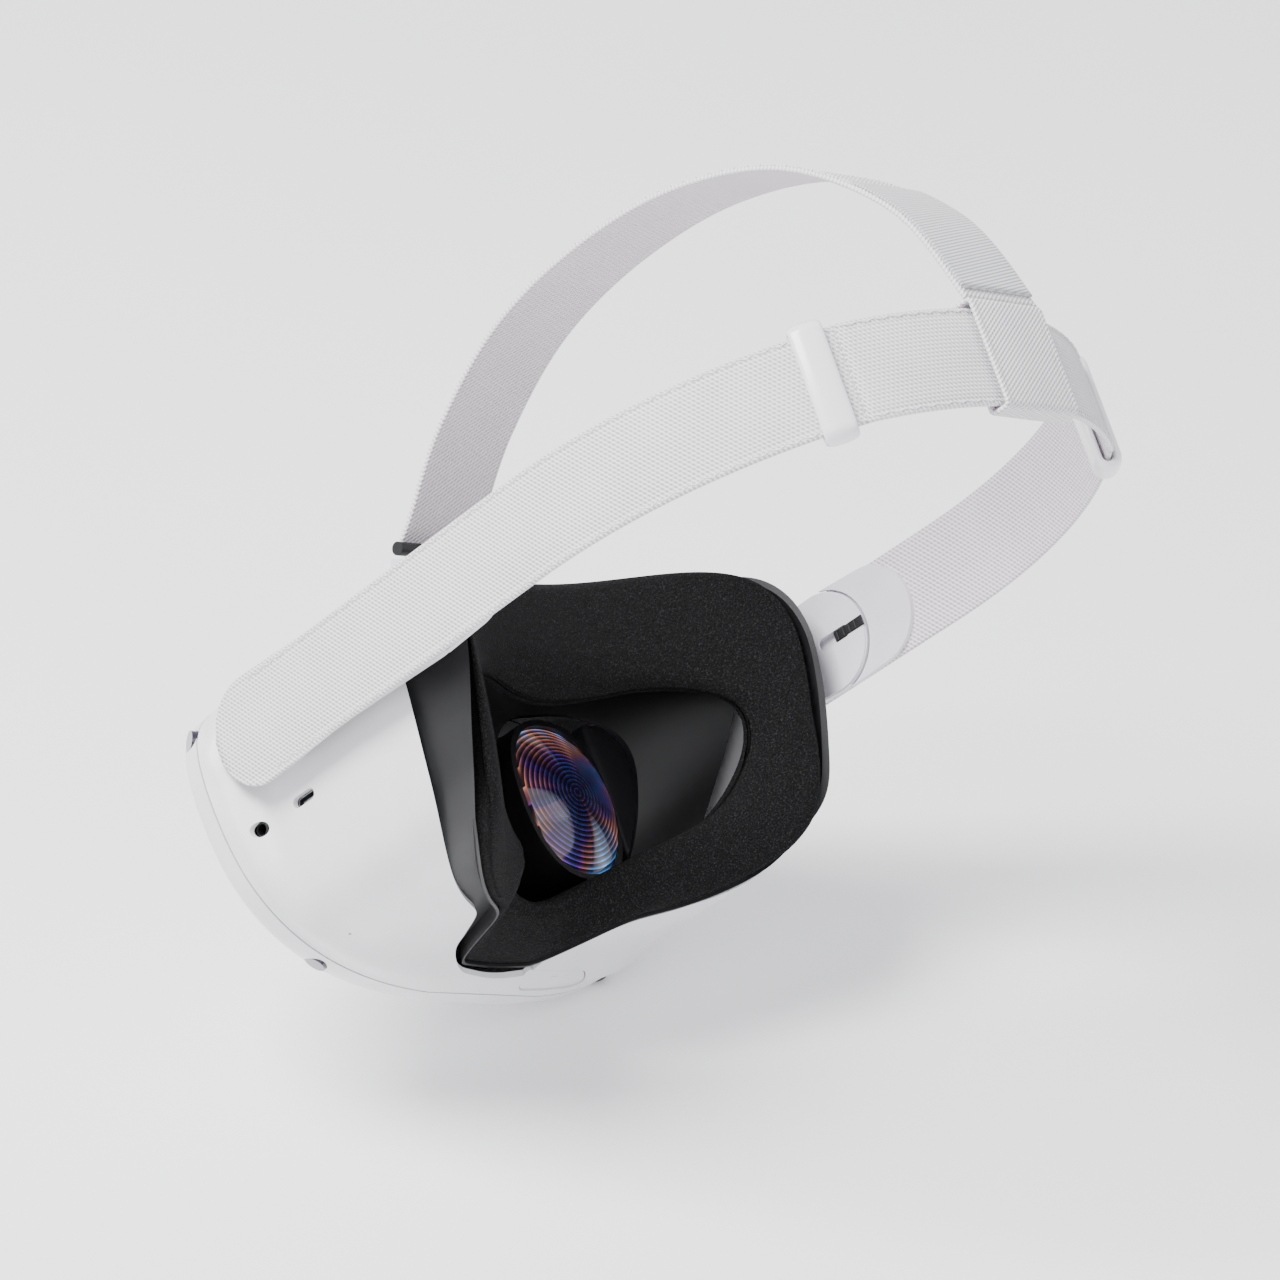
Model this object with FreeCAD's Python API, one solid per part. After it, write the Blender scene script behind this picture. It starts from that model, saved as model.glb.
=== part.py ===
"""A stand-alone virtual reality headset with a soft strap harness, as separate solids.

Millimetres. The model is drawn about the strap pivots: +X is the wearer's left, +Y points back
to the wearer's head, +Z is up. Each solid is then moved so that the origin lies under the middle
of the whole object, on the surface that it stands on.
"""
import FreeCAD, Part
import math
import os
from FreeCAD import Vector

X_AXIS = Vector(1, 0, 0)
Y_AXIS = Vector(0, 1, 0)
Z_AXIS = Vector(0, 0, 1)
SIDES = {"left": 1, "right": -1}

# Whole object
FRONT_Y = -43.3
REAR_Y = 249.9
BOTTOM_Z = -74.5
TO_ORIGIN = Vector(0, -(FRONT_Y + REAR_Y) / 2, -BOTTOM_Z)

# Visor shells
VISOR_TOP_Z = 30.5
SEAM_FRONT_Y = -25.3
SEAM_REAR_Y = -24.7
SHELL = 2.0
FACEPLATE_HALF_WIDTH = 93.0
DOME_POWER = 3.0
DOME_ANGLES = (0, 4, 12, 25, 40, 55, 68, 78, 85, 89)
FRONT_POWER = 2.7
REAR_POWER = 5.0
FRONT_WIDEST_Z = -5.0
REAR_WIDEST_Z = -21.0
OUTLINE_POINTS = 36
UNDERSIDE_CROWN = 0.7
HOUSING_END_Y = 66.0
HOUSING_STATIONS = 18
HOUSING_WAIST_Y = -10.0
HOUSING_TOP_DROP = 3.5
HOUSING_BOTTOM_RISE = 8.7

# Face side
NOSE_Z = -62.0
BROW_Z = 5.0
TEMPLE_HALF_WIDTH = 84.0
THROUGH_Y = (-60.0, 110.0)
SURFACE_STEP = 5.0
SURFACE_HALF_WIDTH = 105.0
SURFACE_LOW_Z = -98.0
SURFACE_HIGH_Z = 57.0
REACH = 220.0
SHROUD_GAP = 0.3
SHROUD_WALL = 1.5
SHROUD_TUCK = 4.0
SHROUD_RISE_Y = (48.0, 72.0)
SHROUD_STATIONS = 12
SHROUD_RANGE_Y = (-50.0, 100.0)
SHROUD_HALF_WIDTH = 76.0
SHROUD_HIGH_TOP_Z = 32.0
SHROUD_FLANGE = 11.0
SHROUD_FLANGE_DEPTH = 1.2
SHROUD_LIP_INSET = -0.6
FOAM_HALF_WIDTH = 76.8
FOAM_TOP_Z = 34.0
FOAM_BOTTOM_Z = -68.2
FOAM_GAP = 0.1
EYE_OUTLINE = [(0, -5), (37, -4), (58, -12), (62, -27), (53, -43), (36, -49.5), (18, -53.5), (0, -58)]
PANEL_WALL = 1.6
PANEL_HALF_WIDTH = 74.0
PANEL_TOP_Z = 24.0
PANEL_BOTTOM_Z = -61.5
PANEL_GAP = 0.4

# Lenses
LENS_X = 31.5
LENS_Z = -21.5
LENS_HALF_WIDTH = 19.0
LENS_HALF_HEIGHT = 26.0
LENS_POWER = 2.4
LENS_FRONT_Y = 1.0
LENS_EDGE_Y = 5.0
LENS_CROWN = 7.0
CARRIER_WALL = 2.0
CARRIER_FRONT_Y = -27.0
CARRIER_REAR_Y = 7.0
LENS_TRAVEL = 2.5
RAIL_RADIUS = 1.5
RAIL_CLEARANCE = 0.05
RAIL_Y = -18.0
RAIL_Z = (12.0, -54.0)
RAIL_OUTER_X = 62.0
RAIL_INNER_X = 22.5
HANGER_WIDTH = 6.0
HANGER_THICKNESS = 2.0
PINION_GAP = 0.3
LUG_LENGTH = 9.0
LUG_SIZE = 7.0
PINION_TEETH = 12
PINION_MODULE = 1.0
PINION_RADIUS = PINION_TEETH * PINION_MODULE / 2
PINION_FRONT_Y = -20.0
PINION_THICKNESS = 3.0
PINION_Z = LENS_Z
TOOTH_PLAY = 0.3
PRESSURE_ANGLE = math.radians(20.0)
RACK_DEPTH = 3.0
RACK_REACH = (-5.2, 14.0)
RACK_TEETH = 1
FLANK_POINTS = 5
PINION_PIN_RADIUS = 1.5

# Strap harness
PIVOT_Y = 3.0
BOSS_RADIUS = 13.5
BOSS_ROOT_X = 81.0
BOSS_FACE_X = 86.9
PIVOT_PIN_RADIUS = 4.0
PIVOT_CLEARANCE = 0.06
ARM_FACE_X = 87.4
ARM_PIN_REACH = 2.4
SIDE_X = 92.07
SIDE_SLOPE = math.atan(0.036)
ARC_CENTRE = Vector(-41.0, 130.75, 0)
ARC_RADIUS = 137.7
ARC_START = -SIDE_SLOPE
ARC_END = math.radians(44.5)
SLIDER_ANGLE = math.radians(41.4)
REAR_CENTRE_Y = 150.4
REAR_RADIUS = 96.6
WEBBING = 1.4
STRAP_THICKNESS = 2.0
STRAP_HALF_HEIGHT = 16.3
ARM_END_RADIUS = 17.5
ARM_STUB_Y = 78.0
ARM_STUB_RADIUS = 17.0
ARM_THICKNESS = 2.4
COVER_THICKNESS = 0.6
CLIP_END_Y = 97.0
CLIP_RADIUS = 16.0
CLIP_THICKNESS = 1.8
CLIP_GAP = 0.1
SLOT_Y = 82.0
SLOT_LENGTH = 13.0
SLOT_WIDTH = 4.0
SPEAKER_Y = 52.0
SPEAKER_RADIUS = 9.0
SPEAKER_THICKNESS = 1.7
SPEAKER_GAP = 0.2
ARM_RIM = 0.6
ARM_FRONT_RIM = 4.0
COVER_INSET = 0.3
REAR_END_GAP = 0.15
SLIDER_HEIGHT = 39.6
SLIDER_WIDTH = 10.5
SLIDER_OUTER = 3.2
SLIDER_INNER = 2.6
SLIDER_SLOT_GAP = 0.5
SLIDER_ROUNDING = 2.2

# Top strap
TOP_HALF_WIDTH = 16.5
TOP_THICKNESS = 1.8
TOP_PROFILE = [(21, 62), (45, 87), (79, 104), (119, 110), (162, 106), (203, 89), (235, 56), (248.4, 20)]
TAB_THICKNESS = 0.9
TAB_SHARE = 0.80
PROFILE_POINTS = 25
LOOP_WALL = 1.6
LOOP_FRONT_Y = 242.6
LOOP_BACK_Y = 247.8
LOOP_HALF_HEIGHT = 17.0
BRACKET_ROOT = Vector(0, 2.0, 29.0)
BRACKET_LEAN = math.radians(27.0)
BRACKET_LENGTH = 33.0
BRACKET_HALF_WIDTH = 20.0
BRACKET_LEG_WIDTH = 2.6
BRACKET_LEG_DEPTH = 5.0
BRACKET_BAR_RADIUS = 2.2
BRACKET_GAP = 0.3

# Sockets, sensors and buttons
USB_PLACE = (3.0, -24.8)
USB_SIZE = (9.0, 3.2)
USB_DEPTH = 7.0
USB_GAP = 0.15
JACK_PLACE = (-15.2, -26.3)
JACK_BORE = 1.8
JACK_BODY = 3.4
JACK_LIP = 0.5
JACK_COLLAR = 5.5
JACK_INSET = 0.9
JACK_LENGTH = 14.0
SOCKET_FACE_INSET = 2.2
MIC_PLACE = (67.5, -10.7, -70.0)
MIC_RADIUS = 0.5
CAMERA_RADIUS = 3.4
CAMERA_GAP = 0.2
CAMERA_DEPTH = 7.0
CAMERA_PLACES = {"upper": (89.0, -29.0, 10.8), "lower": (64.0, -30.8, -63.5)}
CAMERA_LOOKS = {"upper": (0.85, -0.4, 0.3), "lower": (0.55, -0.45, -0.7)}
LIGHT_RADIUS = 1.0
LIGHT_PLACE = Vector(70.0, -40.0, -14.0)
LIGHT_LENGTH = 4.0
BUTTON_PLACE = (-15.0, -26.0)
BUTTON_SIZE = (11.0, 4.4)
BUTTON_GAP = 0.25
BUTTON_PROUD = 0.9
BUTTON_DEPTH = 4.0
BUTTON_STEM_RADIUS = 1.5
ROCKER_PLACE = (-28.0, -19.4)
ROCKER_SIZE = (29.0, 5.6)
ROCKER_THICKNESS = 1.6
ROCKER_RECESS = 0.5
ROCKER_GAP = 0.4
ROCKER_REACH = 14.0
ROCKER_STEM = 3.0
ROCKER_STEM_Z = -69.5

# Inside the visor
FRAME_HALF_WIDTH = 84.0
FRAME_TOP_Z = 24.0
FRAME_BOTTOM_Z = -66.0
FRAME_Y = (-31.4, -30.2)
CABLE_WINDOW_X = (8.0, 40.0)
CABLE_WINDOW_Z = (12.0, 18.0)
SCREW_PLACES = [(-70.0, -42.0), (-70.0, 10.0), (0.0, -58.0), (0.0, 16.0), (70.0, -42.0), (70.0, 10.0)]
SCREW_RADIUS = 1.0
SCREW_GAP = 0.1
SCREW_HEAD = 0.8
SCREW_HEAD_RADIUS = 1.9
SCREW_LENGTH = 5.0
DISPLAY_SIZE = (128.0, 62.0)
DISPLAY_Y = (-29.8, -28.2)
BOARD_HALF_WIDTH = 62.0
BOARD_TOP_Z = 12.0
BOARD_BOTTOM_Z = -54.0
BOARD_Y = (-34.0, -33.0)
BOARD_CHIPS = [(-24.0, -8.0, 14.0), (6.0, -12.0, 16.0), (30.0, -34.0, 11.0), (-34.0, -36.0, 10.0)]
CHIP_HEIGHT = 1.2
SINK_SIZE = (84.0, 50.0)
SINK_BASE_Y = (-36.5, -35.4)
SINK_FIN_Y = -38.8
SINK_FIN = 1.0
SINK_FINS = 14
BATTERY_X = (58.5, 78.0)
BATTERY_Y = (-24.0, 2.0)
BATTERY_Z = (-52.0, 10.0)
BATTERY_ROUNDING = 2.0
FAN_CENTRE = Vector(0, -15.0, 18.5)
FAN_RADIUS = 12.0
FAN_WALL = 1.0
FAN_HEIGHT = 8.0
FAN_PIN_RADIUS = 1.0
FAN_HUB_RADIUS = 4.5
FAN_AIR = 0.5
FAN_BLADE = 0.8
FAN_BLADES = 9
SENSOR_SIZE = (10.0, 5.0)
SENSOR_Y = (-2.5, 2.4)
SENSOR_Z = -8.0
SENSOR_GAP = 0.1
GASKET_INSET = 0.9


def moved(shape, vector):
    """A copy of a shape, moved by a vector."""
    copy = shape.copy()
    copy.translate(vector)
    return copy


def mirrored(shape, side):
    """The shape as it is for the wearer's left, mirrored for the right."""
    if side > 0:
        return shape
    return shape.mirror(Vector(0, 0, 0), X_AXIS)


def box(x_range, y_range, z_range):
    """A box from its three ranges."""
    size = [high - low for low, high in (x_range, y_range, z_range)]
    return Part.makeBox(*size, Vector(x_range[0], y_range[0], z_range[0]))


def cylinder(radius, length, start, direction):
    """A cylinder from its start point along a direction."""
    return Part.makeCylinder(radius, length, start, direction)


def oval_wire(half_width, top, bottom, power, y, widest=None):
    """A closed superellipse in the plane across Y, widest at a height that may be off its middle."""
    if widest is None:
        widest = (top + bottom) / 2
    points = []
    for index in range(OUTLINE_POINTS):
        angle = 2 * math.pi * index / OUTLINE_POINTS - math.pi / 2
        height = top - widest if math.sin(angle) > 0 else widest - bottom
        across = abs(math.cos(angle)) / half_width
        up = abs(math.sin(angle)) / height
        reach = (across**power + up**power) ** (-1 / power)
        points.append(Vector(reach * math.cos(angle), y, widest + reach * math.sin(angle)))
    curve = Part.BSplineCurve()
    curve.interpolate(points, PeriodicFlag=True)
    return Part.Wire(curve.toShape())


def oval_prism(half_width, top, bottom, power, y_range, widest=None):
    """A superellipse extruded along Y."""
    face = Part.Face(oval_wire(half_width, top, bottom, power, y_range[0], widest))
    return face.extrude(Vector(0, y_range[1] - y_range[0], 0))


def stadium(y_range, radii, thickness):
    """A plate with two round ends, standing in the plane across X, thick towards -X.

    The ends are centred at the two y values and the long edges are tangent to both.
    """
    (start, end), (first, last) = y_range, radii
    lean = math.asin((first - last) / (end - start))
    corners = []
    for middle, radius, sign in ((start, first, 1), (end, last, 1), (end, last, -1), (start, first, -1)):
        corners.append(Vector(0, middle + radius * math.sin(lean), sign * radius * math.cos(lean)))
    back = Vector(0, end + last, 0)
    front = Vector(0, start - first, 0)
    edges = [
        Part.LineSegment(corners[0], corners[1]),
        Part.Arc(corners[1], back, corners[2]),
        Part.LineSegment(corners[2], corners[3]),
        Part.Arc(corners[3], front, corners[0]),
    ]
    face = Part.Face(Part.Wire([edge.toShape() for edge in edges]))
    return face.extrude(Vector(-thickness, 0, 0))


def slot_prism(centre, length, width, direction, depth, along):
    """A straight slot with round ends: along is the long way, depth is measured along direction."""
    across = direction.cross(along)
    half = along * ((length - width) / 2)
    side = across * (width / 2)
    tip = along * (length / 2)
    edges = [
        Part.LineSegment(centre - half + side, centre + half + side),
        Part.Arc(centre + half + side, centre + tip, centre + half - side),
        Part.LineSegment(centre + half - side, centre - half - side),
        Part.Arc(centre - half - side, centre - tip, centre - half + side),
    ]
    face = Part.Face(Part.Wire([edge.toShape() for edge in edges]))
    return face.extrude(direction * depth)


def smooth(share):
    """0 up to 0, 1 from 1 on, smooth between them."""
    share = min(max(share, 0), 1)
    return share * share * (3 - 2 * share)


def blend_up(z):
    """0 at the nose, 1 at the brow."""
    return smooth((z - NOSE_Z) / (BROW_Z - NOSE_Z))


def face_depth(x, z, nose, bridge, cheek, brow, temple, rise=blend_up):
    """How far back a face curve lies.

    nose is its depth at the bottom in the middle. It gains bridge over a pair of heights beside
    the nose, and cheek out to the side. brow and temple are the same for its upper end.
    """
    gain, start, end = bridge
    low = nose + gain * smooth((abs(x) - start) / (end - start)) + cheek * (x / TEMPLE_HALF_WIDTH) ** 2
    high = brow + temple * (x / TEMPLE_HALF_WIDTH) ** 2
    share = rise(z)
    return low * (1 - share) + high * share


def housing_edge(x, z):
    return face_depth(x, z, nose=-18.7, bridge=(24.0, 15.5, 38.0), cheek=46.0, brow=18.0, temple=38.0)


def shroud_edge(x, z):
    return face_depth(x, z, nose=-17.0, bridge=(27.6, 14.0, 33.0), cheek=58.3, brow=37.0, temple=50.0)


def foam_rise(z):
    """0 at the foam's lower edge, 1 at the brow, rising fast at first over the nose."""
    share = (z - FOAM_BOTTOM_Z) / (BROW_Z - FOAM_BOTTOM_Z)
    return math.sqrt(min(max(share, 0), 1))


def foam_edge(x, z):
    bulge = 6.0 * (x / TEMPLE_HALF_WIDTH) ** 4
    return bulge + face_depth(x, z, nose=-13.0, bridge=(27.6, 14.0, 33.0), cheek=58.3, brow=48.0,
                              temple=35.0, rise=foam_rise)


def panel_depth(x, z):
    dish = 42.0 * max(abs(x) - 26.0, 0) ** 2 / 44.0**2
    nose = face_depth(x, z, nose=-21.0, bridge=(25.0, 17.0, 36.0), cheek=0.0, brow=4.0, temple=0.0)
    return nose + dish * blend_up(z)


def steps(low, high, step):
    count = round((high - low) / step)
    return [low + step * index for index in range(count + 1)]


def behind(depth, shift=0.0):
    """The space behind a face curve, as a solid."""
    columns = steps(-SURFACE_HALF_WIDTH, SURFACE_HALF_WIDTH, SURFACE_STEP)
    rows = steps(SURFACE_LOW_Z, SURFACE_HIGH_Z, SURFACE_STEP)
    grid = [[Vector(x, depth(x, z) + shift, z) for z in rows] for x in columns]
    surface = Part.BSplineSurface()
    surface.interpolate(grid)
    return surface.toShape().extrude(Vector(0, REACH, 0))


def housing_tube(inset):
    """The rear housing's outer form, or the form inside it.

    It narrows and its underside rises from the faceplate to a waist before the strap pivots, then
    it runs back to the temples.
    """
    wires = []
    length = HOUSING_END_Y - SEAM_REAR_Y
    for y in steps(SEAM_REAR_Y, HOUSING_END_Y, length / HOUSING_STATIONS):
        share = (y - SEAM_REAR_Y) / length
        narrowing = smooth((y - SEAM_REAR_Y) / (HOUSING_WAIST_Y - SEAM_REAR_Y))
        half_width = FACEPLATE_HALF_WIDTH - (FACEPLATE_HALF_WIDTH - TEMPLE_HALF_WIDTH) * narrowing
        top = VISOR_TOP_Z - HOUSING_TOP_DROP * share**2
        bottom = BOTTOM_Z - UNDERSIDE_CROWN + HOUSING_BOTTOM_RISE * narrowing
        power = FRONT_POWER + (REAR_POWER - FRONT_POWER) * narrowing
        widest = FRONT_WIDEST_Z + (REAR_WIDEST_Z - FRONT_WIDEST_Z) * narrowing
        wires.append(oval_wire(half_width - inset, top - inset, bottom + inset, power, y, widest))
    return Part.makeLoft(wires, True, False)


def shroud_tube(inset):
    """The shroud's outer form, or the form inside it.

    It leaves the housing just inside its wall, then tapers while its top rises to the brow.
    """
    wires = []
    length = SHROUD_RANGE_Y[1] - SHROUD_RANGE_Y[0]
    inside = SHELL + SHROUD_GAP
    low_top = VISOR_TOP_Z - HOUSING_TOP_DROP - inside
    wide = TEMPLE_HALF_WIDTH - inside
    bottom = BOTTOM_Z - UNDERSIDE_CROWN + HOUSING_BOTTOM_RISE + inside
    rise_start, rise_end = SHROUD_RISE_Y
    for y in steps(*SHROUD_RANGE_Y, length / SHROUD_STATIONS):
        rise = smooth((y - rise_start) / (rise_end - rise_start))
        taper = smooth((y - rise_end) / (SHROUD_RANGE_Y[1] - rise_end))
        top = low_top + (SHROUD_HIGH_TOP_Z - low_top) * rise
        half_width = wide - (wide - SHROUD_HALF_WIDTH) * taper
        wires.append(oval_wire(half_width - inset, top - inset, bottom + inset, REAR_POWER, y,
                               REAR_WIDEST_Z))
    return Part.makeLoft(wires, True, False)


def above_ground(shape):
    """The shape with its underside cut flat."""
    half = 2 * FACEPLATE_HALF_WIDTH
    ground = box((-half, half), (-half, half), (BOTTOM_Z - half, BOTTOM_Z))
    return shape.cut(ground)


def faceplate_form(inset):
    """The faceplate's outer dome, or the form inside it."""
    half_width = FACEPLATE_HALF_WIDTH - inset
    rise = VISOR_TOP_Z - FRONT_WIDEST_Z - inset
    fall = FRONT_WIDEST_Z - BOTTOM_Z + UNDERSIDE_CROWN - inset
    depth = SEAM_FRONT_Y - FRONT_Y - inset
    wires = []
    for degrees in DOME_ANGLES:
        angle = math.radians(degrees)
        share = math.cos(angle) ** (2 / DOME_POWER)
        y = SEAM_FRONT_Y - depth * math.sin(angle) ** (2 / DOME_POWER)
        top = FRONT_WIDEST_Z + rise * share
        bottom = FRONT_WIDEST_Z - fall * share
        wires.append(oval_wire(half_width * share, top, bottom, FRONT_POWER, y, FRONT_WIDEST_Z))
    return Part.makeLoft(wires, True, False)


def housing_place(side, place, x):
    """A point on the side wall: place is (y, z) and x is its distance from the middle."""
    return Vector(side * x, place[0], place[1])


def wall_x(y):
    """The half width of the housing's side wall at a station, near its mid height."""
    narrowing = smooth((y - SEAM_REAR_Y) / (HOUSING_WAIST_Y - SEAM_REAR_Y))
    return FACEPLATE_HALF_WIDTH - (FACEPLATE_HALF_WIDTH - TEMPLE_HALF_WIDTH) * narrowing


def side_slot(side, place, size, depth_in, grow=0.0):
    """A cutter for a slot in the side wall, its long way along Y."""
    start = housing_place(side, place, wall_x(place[0]) - depth_in)
    size = [length + 2 * grow for length in size]
    return slot_prism(start, size[0], size[1], X_AXIS * side, 2 * depth_in, Y_AXIS)


def camera_axis(side, level):
    """Where a tracking camera's face is and the way it looks."""
    place = Vector(*CAMERA_PLACES[level])
    look = Vector(*CAMERA_LOOKS[level])
    place.x *= side
    look.x *= side
    return place, look.normalize()


def camera_bodies():
    """The four tracking cameras, each looking out of a front corner."""
    bodies = {}
    for side_name, side in SIDES.items():
        for level in CAMERA_PLACES:
            place, look = camera_axis(side, level)
            barrel = cylinder(CAMERA_RADIUS, CAMERA_DEPTH, place - look * CAMERA_DEPTH, look)
            eye = Part.makeSphere(CAMERA_RADIUS * 2, place - look * CAMERA_RADIUS * 1.6)
            bodies[f"camera_{level}_{side_name}"] = barrel.common(eye)
    return bodies


def camera_holes():
    """Cutters for the cameras, with a fine gap round each."""
    holes = []
    for side in SIDES.values():
        for level in CAMERA_PLACES:
            place, look = camera_axis(side, level)
            start = place - look * (CAMERA_DEPTH + CAMERA_GAP)
            holes.append(cylinder(CAMERA_RADIUS + CAMERA_GAP, 3 * CAMERA_DEPTH, start, look))
    return holes


def faceplate():
    """The white front cover, with the camera windows and the status light's hole."""
    shell = above_ground(faceplate_form(0)).cut(faceplate_form(SHELL))
    light = cylinder(LIGHT_RADIUS + CAMERA_GAP, 3 * SHELL, LIGHT_PLACE - Y_AXIS * SHELL, Y_AXIS)
    return shell.cut(Part.makeCompound(camera_holes() + [light]))


def gasket():
    """The thin seal that shows as the seam between the two white shells."""
    outer, inner = (
        oval_prism(FACEPLATE_HALF_WIDTH - inset, VISOR_TOP_Z - inset,
                   BOTTOM_Z - UNDERSIDE_CROWN + inset, FRONT_POWER, (SEAM_FRONT_Y, SEAM_REAR_Y),
                   FRONT_WIDEST_Z)
        for inset in (GASKET_INSET, SHELL)
    )
    return outer.cut(inner).cut(Part.makeCompound(camera_holes()))


def rear_housing():
    """The white rear shell with its strap bosses, sockets and button openings."""
    shell = above_ground(housing_tube(0))
    for side in SIDES.values():
        boss = cylinder(BOSS_RADIUS, BOSS_FACE_X - BOSS_ROOT_X, Vector(side * BOSS_ROOT_X, PIVOT_Y, 0),
                        X_AXIS * side)
        shell = shell.fuse(boss)
    shell = shell.cut(housing_tube(SHELL)).cut(behind(housing_edge))
    cutters = camera_holes() + [
        side_slot(SIDES["left"], USB_PLACE, USB_SIZE, 3 * SHELL, USB_GAP),
        cylinder(JACK_BORE + JACK_LIP + USB_GAP, 6 * SHELL,
                 housing_place(1, JACK_PLACE, wall_x(JACK_PLACE[0]) - 3 * SHELL), X_AXIS),
        side_slot(SIDES["right"], BUTTON_PLACE, BUTTON_SIZE, 3 * SHELL, BUTTON_GAP),
        rocker_prism(ROCKER_GAP),
        box((-BRACKET_HALF_WIDTH - BRACKET_GAP, BRACKET_HALF_WIDTH + BRACKET_GAP),
            (BRACKET_ROOT.y - BRACKET_LEG_DEPTH, BRACKET_ROOT.y + BRACKET_LEG_DEPTH),
            (VISOR_TOP_Z - 2 * SHELL, VISOR_TOP_Z + 2 * SHELL)),
        cylinder(MIC_RADIUS, 4 * SHELL, Vector(*MIC_PLACE), Z_AXIS),
    ]
    for side in SIDES.values():
        cutters.append(cylinder(PIVOT_PIN_RADIUS, 6 * SHELL,
                                Vector(side * (BOSS_ROOT_X - SHELL), PIVOT_Y, 0), X_AXIS * side))
    return shell.cut(Part.makeCompound(cutters))


def rocker_prism(grow):
    """The volume rocker's outline as an upright prism through the underside."""
    centre = Vector(ROCKER_PLACE[0], ROCKER_PLACE[1], BOTTOM_Z - SHELL)
    length, width = (size + 2 * grow for size in ROCKER_SIZE)
    return slot_prism(centre, length, width, Z_AXIS, ROCKER_REACH, X_AXIS)


def volume_rocker():
    """A two-way key on the underside that follows its curve, on a pivot along Y at its middle."""
    skin = housing_tube(ROCKER_RECESS).cut(housing_tube(ROCKER_RECESS + ROCKER_THICKNESS))
    key = rocker_prism(0).common(skin)
    stem = centred_box((ROCKER_STEM, ROCKER_STEM), (ROCKER_PLACE[1] - ROCKER_STEM / 2,
                                                    ROCKER_PLACE[1] + ROCKER_STEM / 2),
                       ROCKER_STEM_Z, ROCKER_PLACE[0])
    return key.fuse(stem).removeSplitter()


def power_button():
    """A key on the right side, level with the wall, on a stem that goes in."""
    side = SIDES["right"]
    face_x = wall_x(BUTTON_PLACE[0]) + BUTTON_PROUD
    start = housing_place(side, BUTTON_PLACE, face_x - BUTTON_DEPTH)
    key = slot_prism(start, BUTTON_SIZE[0], BUTTON_SIZE[1], X_AXIS * side, BUTTON_DEPTH, Y_AXIS)
    stem = cylinder(BUTTON_STEM_RADIUS, BUTTON_DEPTH, start - X_AXIS * side * BUTTON_DEPTH, X_AXIS * side)
    return key.fuse(stem).removeSplitter()


def usb_c_socket():
    """A metal socket shell with its tongue, open to the left."""
    face_x = wall_x(USB_PLACE[0]) - SOCKET_FACE_INSET
    start = Vector(face_x - USB_DEPTH, USB_PLACE[0], USB_PLACE[1])
    outer = slot_prism(start, USB_SIZE[0], USB_SIZE[1], X_AXIS, USB_DEPTH, Y_AXIS)
    opening = slot_prism(start + X_AXIS, USB_SIZE[0] - 0.6, USB_SIZE[1] - 0.6, X_AXIS, USB_DEPTH, Y_AXIS)
    tongue = box((start.x, start.x + USB_DEPTH - 1), (start.y - 3.2, start.y + 3.2),
                 (start.z - 0.35, start.z + 0.35))
    return outer.cut(opening).fuse(tongue).removeSplitter()


def audio_socket():
    """The 3.5 mm jack socket: a round barrel with a collar and a blind bore."""
    face_x = wall_x(JACK_PLACE[0]) - JACK_INSET
    start = Vector(face_x - JACK_LENGTH - 1, JACK_PLACE[0], JACK_PLACE[1])
    barrel = cylinder(JACK_BODY, JACK_LENGTH + 1 - JACK_COLLAR, start, X_AXIS)
    collar = cylinder(JACK_BORE + JACK_LIP, JACK_LENGTH + 1, start, X_AXIS)
    bore = cylinder(JACK_BORE, JACK_LENGTH, start + X_AXIS, X_AXIS)
    return barrel.fuse(collar).cut(bore).removeSplitter()


def pivot_pin(side):
    """The headed pin that an arm turns on, pressed into the housing's boss."""
    start = Vector(side * (BOSS_ROOT_X - SHELL), PIVOT_Y, 0)
    end_x = ARM_FACE_X + ARM_PIN_REACH
    return cylinder(PIVOT_PIN_RADIUS, end_x - BOSS_ROOT_X + SHELL, start, X_AXIS * side)


def mid_frame():
    """The flat plate that carries the optics behind and the electronics in front."""
    plate = oval_prism(FRAME_HALF_WIDTH, FRAME_TOP_Z, FRAME_BOTTOM_Z, FRONT_POWER, FRAME_Y, FRONT_WIDEST_Z)
    holes = [cylinder(SCREW_RADIUS + SCREW_GAP, REACH, Vector(x, FRONT_Y, z), Y_AXIS) for x, z in SCREW_PLACES]
    window = box(CABLE_WINDOW_X, FRAME_Y, CABLE_WINDOW_Z)
    return plate.cut(Part.makeCompound(holes + [window]))


def screws():
    """The frame screws, each a head and a shank, driven from the front."""
    group = []
    for x, z in SCREW_PLACES:
        head = cylinder(SCREW_HEAD_RADIUS, SCREW_HEAD, Vector(x, FRAME_Y[0] - SCREW_HEAD, z), Y_AXIS)
        shank = cylinder(SCREW_RADIUS, SCREW_LENGTH, Vector(x, FRAME_Y[0], z), Y_AXIS)
        group.append(head.fuse(shank).removeSplitter())
    return Part.makeCompound(group)


def centred_box(size, y_range, z, x=0.0):
    """A box by its width and height, centred at x and z."""
    return box((x - size[0] / 2, x + size[0] / 2), y_range, (z - size[1] / 2, z + size[1] / 2))


def display_panel():
    """One wide screen behind both lenses."""
    return centred_box(DISPLAY_SIZE, DISPLAY_Y, LENS_Z)


def main_board():
    """The main circuit board with its larger chips."""
    board = oval_prism(BOARD_HALF_WIDTH, BOARD_TOP_Z, BOARD_BOTTOM_Z, FRONT_POWER, BOARD_Y)
    for x, z, size in BOARD_CHIPS:
        board = board.fuse(centred_box((size, size), (BOARD_Y[0] - CHIP_HEIGHT, BOARD_Y[0]), z, x))
    return board.removeSplitter()


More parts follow.
